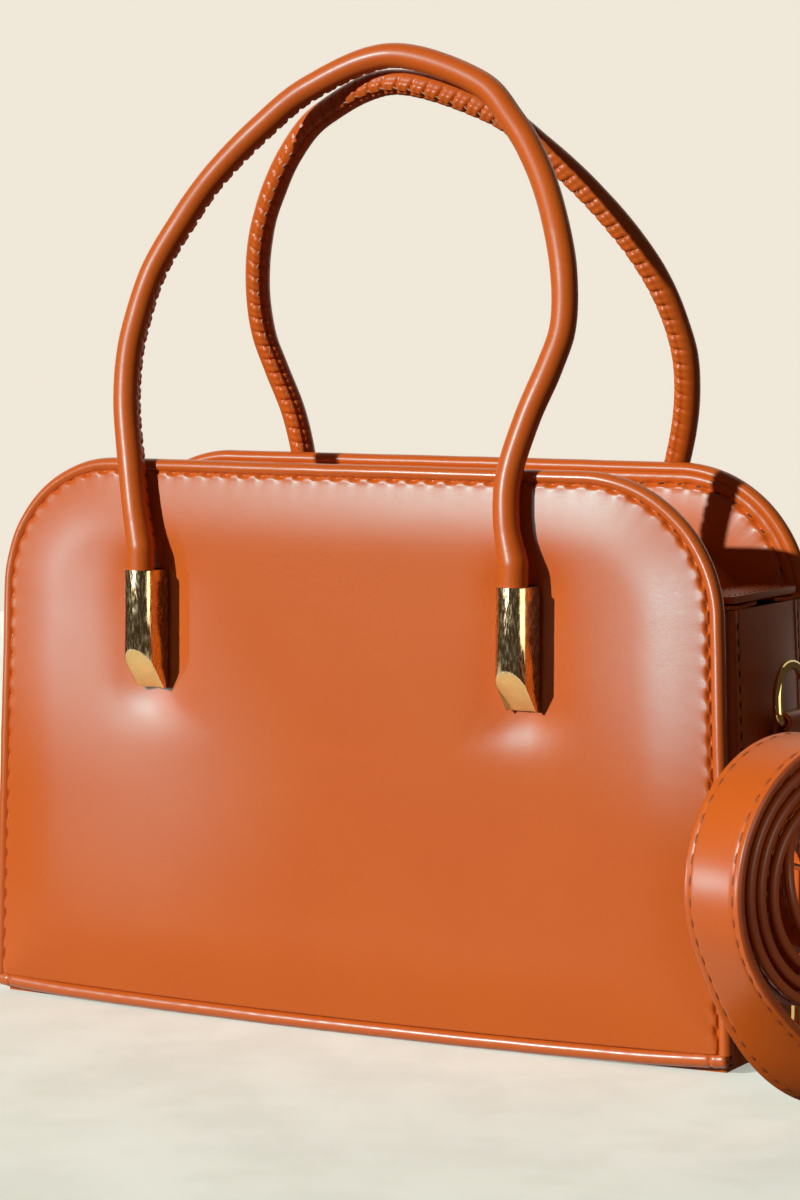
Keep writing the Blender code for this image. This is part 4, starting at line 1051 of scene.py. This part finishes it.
def handle(word, side):
    """A rolled leather handle with a stitched, crimped seam along its inner side."""
    path = wobble(handle_path(word, side), 0.10, 16.0, 41 + side)
    walked = lengths(path)
    inward = unit(((0.0, 0.0, 215.0) - path) * (1.0, 0.0, 1.0))
    normal, across = frames(path, -side * ACROSS + 0.55 * inward)
    turns = np.linspace(-math.pi, math.pi, 56, endpoint=False)
    thick = 1 + 0.012 * uneven(walked, 9.0, np.random.default_rng(51 + side))
    from_end = np.minimum(walked, walked[-1] - walked)
    sleeve = 1 + 0.07 * (1 - clamp((from_end - 9.0) / 8.0))
    lip = 0.50 * bell(np.clip(np.abs(turns + 0.12) - 0.26, 0, 9), 0.10)
    edge = -0.45 * bell(turns - 0.30, 0.09)
    swerve = (walked[:, None] / HANDLE_PITCH + 0.22 * turns) % 1.0 - 0.5
    slit = bell(swerve, 0.085) - 0.35 * bell(np.abs(swerve) - 0.3, 0.16)
    crimp = -0.62 * bell(np.clip(np.abs(turns) - 0.25, 0, 9), 0.62) * slit
    radius = HANDLE_RADIUS * 0.985 * (thick * sleeve)[:, None]
    radius = radius + ease(clamp(from_end / 14.0))[:, None] * (lip + edge + crimp)
    section = np.stack([radius * np.cos(turns), radius * np.sin(turns)], axis=2)
    tube = loft(placed_sections(path, section, normal, across), ends=True)
    keep = slice(24, len(path) - 24)
    seam_line = path + normal * (HANDLE_RADIUS + 0.30)
    made = stitches(
        seam_line[keep], normal[keep], HANDLE_PITCH, 3.4, 0.62, 0.30, 0.30, 0.05, 0.0
    )
    start, end = (
        tuple(np.array([0.0, side * HANDLE_Y, PIVOT_Z + z]) * MM) for z in (-3.5, 6.5)
    )
    piece(
        f"{word}_rolled_handle", [(*tube, LEATHER_SOFT), (*made, THREAD_PALE)], None,
        (f"{word}_handle", f"{word}_handle_core"),
        blend=("bag", f"{word}_handle_body", start, end),
    )


for word, side in PLATES:
    handle(word, side)
    for hand, sign in SIDES[::-1]:
        ferrule(word, hand, side, sign * SPREAD)


# Rings and their tabs.


def ring(word, side):
    """A ring with a flat foot and two tight corners, leaning against the gusset."""
    half, corner = RING_INSIDE / 2 + RING_WIRE, 3.4
    top, lean = 18.5 - 2 * RING_WIRE, math.radians(5.0)
    left = arc(-half + corner, corner, corner, -QUARTER, -math.pi, 8)
    crown = arc(0.0, top - half, half, math.pi, 0.0, 40)
    right = arc(half - corner, corner, corner, 0.0, -QUARTER, 8)
    y, up = resample(closed(np.vstack([left, crown, right])), 0.8)[:-1].T
    path = xyz(side * (RING_X - math.sin(lean) * up), y, RING_Z + math.cos(lean) * up)
    made = round_wire(path, RING_WIRE, (1.0, 0.0, 0.0), True)
    piece(f"{word}_d_ring", [(*made, GOLD)], f"{word}_ring_body", (f"{word}_ring",))


def folded_line(bar, thickness, length):
    """The middle line of a strip folded round a bar at the origin, as (out, up)."""
    reach = bar + 0.3 + thickness / 2
    front = thickness + 0.3 - reach
    join_z = -2.4 * reach
    points = [(-reach, -length), (-reach, join_z), (-reach, join_z / 3)]
    points += [*arc(0.0, 0.0, reach, math.pi, -0.25 * math.pi, 24)]
    points += [(front, join_z * 0.92), (front, -length)]
    return resample(np.array(points), 0.7)


def strip_section(half_width, thickness):
    """A strip's section: flat faces and softened edges, as (through, across)."""
    half = thickness / 2
    turns = np.linspace(-QUARTER, QUARTER, 12)
    edge = np.column_stack([half * np.sin(turns), half_width - half + 0.9 * half * np.cos(turns)])
    return np.vstack([edge, -edge])


def folded_strip(line, place, half_width, thickness):
    """The strip swept along its folded line; place maps (out, across, up) to the frame."""
    flat = xyz(line[:, 0], 0.0, line[:, 1])
    through = np.cross(unit(np.gradient(flat, axis=0)), ACROSS)
    section = strip_section(half_width, thickness)
    return loft(place(placed_sections(flat, section, through, ACROSS)), ends=True)


def ring_tab(word, side):
    def place(points):
        return points * (side, side, 1.0) + (side * RING_X, 0.0, RING_Z)

    line = folded_line(RING_WIRE, RING_TAB_LEATHER, 30.0)
    strip = folded_strip(line, place, 9.0, RING_TAB_LEATHER)
    corners = np.array([(-7.2, -7.5), (-7.2, -28.2), (7.2, -28.2), (7.2, -7.5), (-7.2, -7.5)])
    path = resample(place(xyz(RING_TAB_LEATHER - RING_WIRE, *corners.T)), 0.5)
    made = stitches(path, (side, 0.0, 0.0), 3.6, 2.6, 0.5, 0.0, 0.22, 0.02)
    parts = [(*strip, LEATHER), (*made, THREAD)]
    piece(f"{word}_tab", parts, "bag", (f"{word}_ring_tab",))


for word, side in SIDES:
    ring(word, side)
    ring_tab(word, side)


# Shoulder strap. The coil's own frame: x along its face, y up, z along its axis.

COIL = np.array([166.6, -80.0, 67.3])
COIL_TURN = math.radians(-21.0)
COIL_AXES = np.array([
    (-math.sin(COIL_TURN), math.cos(COIL_TURN), 0.0), UP,
    (math.cos(COIL_TURN), math.sin(COIL_TURN), 0.0),
])
COIL_RADIUS = 36.4
TURN_GAPS = (7.2, 4.6, 3.8, 4.0)
LEAVE = math.radians(205.0)
PER_TURN = 96
END_RADIUS = 13.0
END_DEPTH = -24.0
STRAP_WIDTH = 20.0
STRAP_THICK = 2.5
STRAP_LEAN = math.radians(-26.0)
STRAP_STITCH = 7.5


def coil_radius(turns):
    """The radius after so many turns of the coil, counted from its inside."""
    grown = sum(gap * clamp(turns - k) for k, gap in enumerate(TURN_GAPS))
    return COIL_RADIUS - sum(TURN_GAPS) + grown


def strap_line():
    """The strap's middle line in the coil's frame, and the lean of its face."""
    first = LEAVE - len(TURN_GAPS) * 2 * math.pi

    def wound_at(angle, radius, depth):
        return xyz(radius * np.cos(angle), radius * np.sin(angle), depth)

    turns = np.arange(len(TURN_GAPS) * PER_TURN + 1) / PER_TURN
    wound = wound_at(first + 2 * math.pi * turns, coil_radius(turns), 0.0)
    steps = round(LEAVE / (2 * math.pi) * PER_TURN)
    share = np.arange(steps, 0, -1) / steps
    radius = coil_radius(0.0) + (END_RADIUS - coil_radius(0.0)) * ease(share)
    inner = wound_at(first - LEAVE * share, radius, END_DEPTH * ease(share))
    leave = wound[-1]
    heading = np.array([-math.sin(LEAVE), math.cos(LEAVE), 0.0])
    landing = np.array([38.0, STRAP_THICK / 2 + 0.3 - COIL[2], 0.0])
    level = np.array([30.0, 0.0, 0.0])
    spans = 64
    t = np.arange(1, spans + 1)[:, None] / spans
    s = 1 - t
    loose = leave * s**3 + 3 * (leave + heading * 30.0) * s * s * t
    loose = loose + 3 * (landing - level) * s * t * t + landing * t**3
    share = np.arange(1, 25)[:, None] / 24
    climb = 1.9 * ease(np.minimum(1.0, share * 1.2))
    tail = landing + level * share + climb * ACROSS
    points = np.vstack([inner, wound, loose, tail])
    leans = np.zeros(len(points))
    start = len(inner) + len(wound)
    leans[start : start + spans] = STRAP_LEAN * np.sin(math.pi * t[:, 0]) ** 2
    return points, leans


def strap_frames():
    """Positions, width directions and outward face normals along the strap."""
    even = resample(np.column_stack(strap_line()), 1.1)
    points, leans = even[:, :3], even[:, 3:]
    along = unit(np.gradient(points, axis=0))
    width = unit(UP - along[:, 2:] * along)
    turned = np.cos(leans) * width + np.sin(leans) * np.cross(along, width)
    face = np.cross(along, turned)
    return points @ COIL_AXES + COIL, turned @ COIL_AXES, face @ COIL_AXES


def strap():
    """Two layers of leather with painted edges and a row of stitches along each side."""
    spots, width, face = strap_frames()
    thick = STRAP_THICK / 2
    across = np.array([-9.4, -8.9, -8.3, -7.8, -7.5, -7.2, -6.7, -6.0, -4.5, -2.0, 0.0])
    across = np.concatenate([across, -across[-2::-1]])
    pinch = 0.22 * bell(np.abs(across) - STRAP_STITCH, 0.35)
    puff = 0.10 * clamp(1 - (across / 7.0) ** 2) + 0.05
    upper = np.stack([thick - 0.02 + puff - pinch, across], axis=1)
    edge = np.array([(0.8 * thick, 9.75), (0.35 * thick, 9.98)])
    edge = np.vstack([edge, edge[::-1] * (-1.0, 1.0)])
    section = np.vstack([upper, edge, upper[::-1] * (-1.0, 1.0), -edge])
    vertices, faces = loft(placed_sections(spots, section, face, width), ends=True)
    wide, flat = len(section), len(upper)
    edge_columns = {*range(flat - 1, flat + 4), *range(2 * flat + 3, wide)}
    grain, painted = [], []
    for k, quad in enumerate(faces[:-2]):
        (painted if k % wide in edge_columns else grain).append(quad)
    painted += faces[-2:]
    parts = [(vertices, grain, LEATHER), (vertices, painted, LEATHER_EDGE)]
    for sign in (-1, 1):
        for row in (-1, 1):
            line = spots + width * (STRAP_STITCH * row) + face * (sign * (thick - 0.16))
            made = stitches(line, face * sign, 5.5, 3.8, 0.62, 0.0, 0.26, 0.06)
            parts.append((*made, THREAD_STRAP))
    piece("long_strap", parts, "strap_body", ("strap",))


strap()


# Swivel snap hooks, in their own frame: x out along the strap, y across it, z square to its face.

EYE_LENGTH, EYE_WIRE, BOSS_LENGTH = 8.5, 2.4, 3.6
HUB_LENGTH, HOOK_LENGTH, HOOK_HALF = 5.6, 21.0, 7.5
GATE_WIRE, GAP = 1.0, 0.3
HOOK_BASE = EYE_LENGTH + EYE_WIRE / 2 + BOSS_LENGTH + GAP + HUB_LENGTH
HOOK_NOSE = HOOK_BASE + HOOK_LENGTH
HOOK_TIP = HOOK_NOSE - HOOK_HALF * 4 / 3
GATE_PIVOT = HOOK_BASE + 1.5 + GAP + GATE_WIRE
BOSS = (
    (-0.4, 1.9), (0.0, 2.6), (0.4, 3.0), (BOSS_LENGTH + 0.7, 3.0), (BOSS_LENGTH + 1.1, 2.75),
    (BOSS_LENGTH + 1.2, 1.6),
)
HUB = (
    (0.0, 2.2), (0.25, 2.8), (0.6, 3.0), (2.2, 3.0), (2.5, 2.7), (2.8, 2.7), (3.1, 3.0),
    (5.0, 3.0), (5.6, 2.4), (5.9, 1.2),
)
STEM = ((0.0, 1.4), (7.0, 1.4))
HEAD = ((0.0, 1.2), (0.15, 2.0), (0.5, 2.4), (1.0, 2.4), (1.2, 2.1))
THUMB = ((-0.1, 0.9), (0.1, 1.5), (0.5, 1.5), (0.7, 0.9))


def hook_set(word, spot, out, across):
    out, across = unit(out), unit(across)
    axes = np.array([out, across, np.cross(out, across)])

    def place(points):
        return points @ axes + spot

    def fitting(kind, body, node, *shapes):
        parts = [(place(vertices), faces, GOLD) for vertices, faces in shapes]
        piece(f"{word}_{kind}", parts, f"{word}_{body}", (f"{word}_{node}",))

    def wire(line, radius, step, loop=False, sides=20):
        line = resample(line, step)[: -1 if loop else None]
        return round_wire(xyz(*line.T, 0.0), radius, UP, loop, sides)

    half = (STRAP_WIDTH + EYE_WIRE) / 2 + 0.6
    line = round_box(EYE_LENGTH / 2, half, 2.2, 8) + (EYE_LENGTH / 2, 0.0)
    eye = wire(closed(line), EYE_WIRE / 2, 0.8, True)
    boss = lathe(BOSS, (EYE_LENGTH, 0.0, 0.0))
    fitting("swivel_eye", "eye_body", "hook_eye", eye, boss)
    shoulder = arc(HOOK_BASE + 3.75, HOOK_HALF - 3.75, 3.75, math.pi, QUARTER, 8)
    bend = arc(HOOK_NOSE - HOOK_HALF, 0.0, HOOK_HALF, QUARTER, -QUARTER, 28)
    line = np.vstack([[(HOOK_BASE, -HOOK_HALF)], shoulder, bend, [(HOOK_TIP, -HOOK_HALF)]])
    hub = lathe(HUB, (HOOK_BASE - HUB_LENGTH, 0.0, 0.0))
    stem = lathe(STEM, (HOOK_BASE - HUB_LENGTH - 6.8, 0.0, 0.0), 16)
    head = lathe(HEAD, (EYE_LENGTH - EYE_WIRE / 2 - GAP - 1.2, 0.0, 0.0))
    fitting("snap_hook", "hook_body", "hook", wire(line, 1.5, 0.7), hub, stem, head)
    line = [(GATE_PIVOT, -HOOK_HALF), (HOOK_TIP - GAP - GATE_WIRE, -HOOK_HALF)]
    thumb = lathe(THUMB, (GATE_PIVOT + 4.0, -HOOK_HALF, 0.0), 20)
    fitting("sprung_gate", "gate_body", "hook_gate", wire(line, GATE_WIRE, 0.8, sides=16), thumb)

    def fold_place(points):
        return place(points[..., ::-1] * (1.0, 1.0, -1.0))

    fold = folded_strip(folded_line(1.2, 1.2, 9.5), fold_place, STRAP_WIDTH / 2, 1.2)
    piece(f"{word}_strap_fold", [(*fold, LEATHER)], "strap_body", (f"{word}_strap_loop",))


hook_set("inner", (148.3, -57.8, 57.3), (-0.0582, 0.1406, -0.9883), (0.9330, -0.3455, -0.1041))
hook_set("outer", (194.6, -7.1, 3.4), (0.3584, 0.9336, 0.0), (0.9336, -0.3584, 0.0))


# Zip slider and pull keep their CAD shapes, with softened edges.

for node in ("zip_slider", "zip_pull"):
    solid = frame["nodes"][node]
    solid.data.materials.clear()
    solid.data.materials.append(GOLD)
    soft = solid.modifiers.new("Edges", "BEVEL")
    soft.width = 0.25 * MM
    soft.segments = 3
    soft.limit_method = "ANGLE"
    soft.angle_limit = math.radians(35)


# Stage: floor, backdrop, lights and camera.

STAGE_HALF = 3000.0
WALL_Y = 1100.0
FLOOR_Z = -0.08


def stage():
    """The floor, a self-glowing patch below it that shows only in reflections as a painted
    reflection of the sunlit floor, and the wall.
    """
    ends = (-STAGE_HALF, STAGE_HALF)
    for name, finish, rows in (
        ("floor", FLOOR, xyz(ends, [[-STAGE_HALF], [WALL_Y]], FLOOR_Z)),
        ("floor_mirrored", GLOWING_FLOOR_PATCH, xyz((-300.0, 130.0), [[-200.0], [-30.0]], -0.20)),
        ("wall", WALL, xyz((-STAGE_HALF, 350.0), WALL_Y, [[FLOOR_Z], [2600.0]])),
    ):
        stand = linked(name, mesh_of(name, *loft(rows, False), [finish]))
        stand.visible_diffuse = name == "wall"
        stand.visible_glossy = name != "floor"
        stand.visible_camera = name != "floor_mirrored"
        stand.visible_shadow = name != "floor_mirrored"


def lamp(kind, name, spot, target, energy, colour, receivers=None, **settings):
    """A lamp that points at the target; it lights only the receivers, if there are any."""
    light = bpy.data.lights.new(name, kind)
    light.energy, light.color = energy, colour
    for key, value in settings.items():
        setattr(light, key, value)
    made = linked(name, light)
    made.location = Vector(spot) * MM
    way = Vector(target) * MM - made.location
    made.rotation_euler = way.to_track_quat("-Z", "Y").to_euler()
    if receivers is not None:
        made.light_linking.receiver_collection = receivers
    return made


def away(target, azimuth, elevation, far):
    """The place that lies so far from the target, turned from the front and raised."""
    turn, tilt = math.radians(azimuth), math.radians(elevation)
    way = (math.cos(tilt) * math.sin(turn), -math.cos(tilt) * math.cos(turn), math.sin(tilt))
    return np.array(target) + far * np.array(way)


def gathered(name, objects):
    made = bpy.data.collections.new(name)
    for item in objects:
        made.objects.link(item)
    return made


def finishes(item):
    return {slot.material for slot in item.material_slots}


stage()
lamp(
    "SUN", "key_sun", (-675.0, -1500.0, 585.0), (0.0, 0.0, 0.0), 3.6, (1.0, 0.97, 0.93),
    angle=math.radians(1.2),
)
things = bpy.context.scene.objects
solids = [
    item for item in things
    if item.type == "MESH" and item.name not in ("floor", "floor_mirrored", "wall")
]
glazed = gathered("glazed", [things[k] for k in ("front_skin", "back_skin", "front_rolled_edge")])
wound = gathered("wound", [things["long_strap"]])
plated = gathered(
    "plated", [item for item in solids if finishes(item) & {GOLD, GOLD_BRUSHED, GOLD_SATIN}]
)
body_words = ("front", "back", "right", "left", "base")
from_behind = gathered(
    "from_behind", [item for item in solids if item.name.split("_")[0] in body_words]
)
# Snooted lamps, each seen only as a soft haze on padded leather.
for name, azimuth, elevation, target, reach, watts, receivers, far in (
    ("right_haze", -6.0, 0.5, (114.0, -38.0, 118.0), 46.0, 82.0, glazed, 1500.0),
    ("top_haze", -17.0, 14.0, (87.0, -38.0, 150.0), 26.0, 46.0, glazed, 1500.0),
    ("left_haze", -42.0, 4.0, (-101.0, -38.0, 115.0), 42.0, 76.0, glazed, 1500.0),
    ("low_haze", -32.0, -2.0, (-78.0, -38.0, 66.0), 54.0, 18.0, glazed, 1500.0),
    ("left_glint", -24.0, 18.0, (-69.5, -38.0, 88.0), 14.0, 270.0, glazed, 1500.0),
    ("strap_haze", -65.0, -4.0, (154.0, -113.0, 65.0), 24.0, 24.0, wound, 900.0),
):
    made = lamp(
        "SPOT", name, away(target, azimuth, elevation, far), target, watts, (1.0, 0.96, 0.96),
        receivers, shadow_soft_size=0.02, spot_size=2 * math.atan(reach / far), spot_blend=1.0,
    )
    made.visible_diffuse = False
# Lit panels: one shows in polished metal only, the other also lights the strap's dull edges.
for name, azimuth, elevation, target, size, radiance, colour, receivers in (
    ("right_card", 90.0, 6.0, (62.0, -50.0, 118.0), (1.2, 0.9), 3.0, (1.0, 0.93, 0.78), plated),
    ("strap_card", 66.0, 14.0, (154.0, -113.0, 62.0), (0.5, 0.5), 9.0, (1.0, 0.95, 0.88), wound),
):
    made = lamp(
        "AREA", name, away(target, azimuth, elevation, 1500.0), target,
        radiance * math.pi * size[0] * size[1], colour, receivers, shape="RECTANGLE",
        size=size[0], size_y=size[1],
    )
    made.visible_camera = False
    made.visible_diffuse = receivers is wound
# A weak, wide light on what the key light doesn't reach.
lamp(
    "SUN", "back_fill", (-900.0, 1500.0, 450.0), (0.0, 0.0, 0.0), 2.0, (1.0, 0.92, 0.82),
    from_behind, angle=math.radians(25.0),
)

world = bpy.data.worlds.new("studio")
bpy.context.scene.world = world
world.use_nodes = True
background = world.node_tree.nodes["Background"]
join(world.node_tree, background, {"Color": (1.0, 0.80, 0.60, 1.0), "Strength": 0.075})

# The camera fitted to the photo: its focal length in pixels of the photo's height, its place,
# what it looks at and its roll.
FOCAL_PIXELS, PHOTO_HEIGHT, SENSOR = 3466.0, 1200.0, 36.0
lens = bpy.data.cameras.new("camera")
lens.sensor_width = SENSOR
lens.lens = FOCAL_PIXELS / PHOTO_HEIGHT * SENSOR
lens.clip_start, lens.clip_end = 0.05, 30.0
camera = linked("camera", lens)
bpy.context.scene.camera = camera
spot, target = Vector((497.7, -917.5, 212.9)) * MM, Vector((1.1, 0.0, 126.1)) * MM
turn = (target - spot).to_track_quat("-Z", "Y").to_matrix().to_4x4()
roll = Matrix.Rotation(math.radians(0.27), 4, "Z")
camera.matrix_world = Matrix.Translation(spot) @ turn @ roll
bpy.context.scene.view_settings.view_transform = "Standard"
bpy.context.scene.view_settings.look = "None"
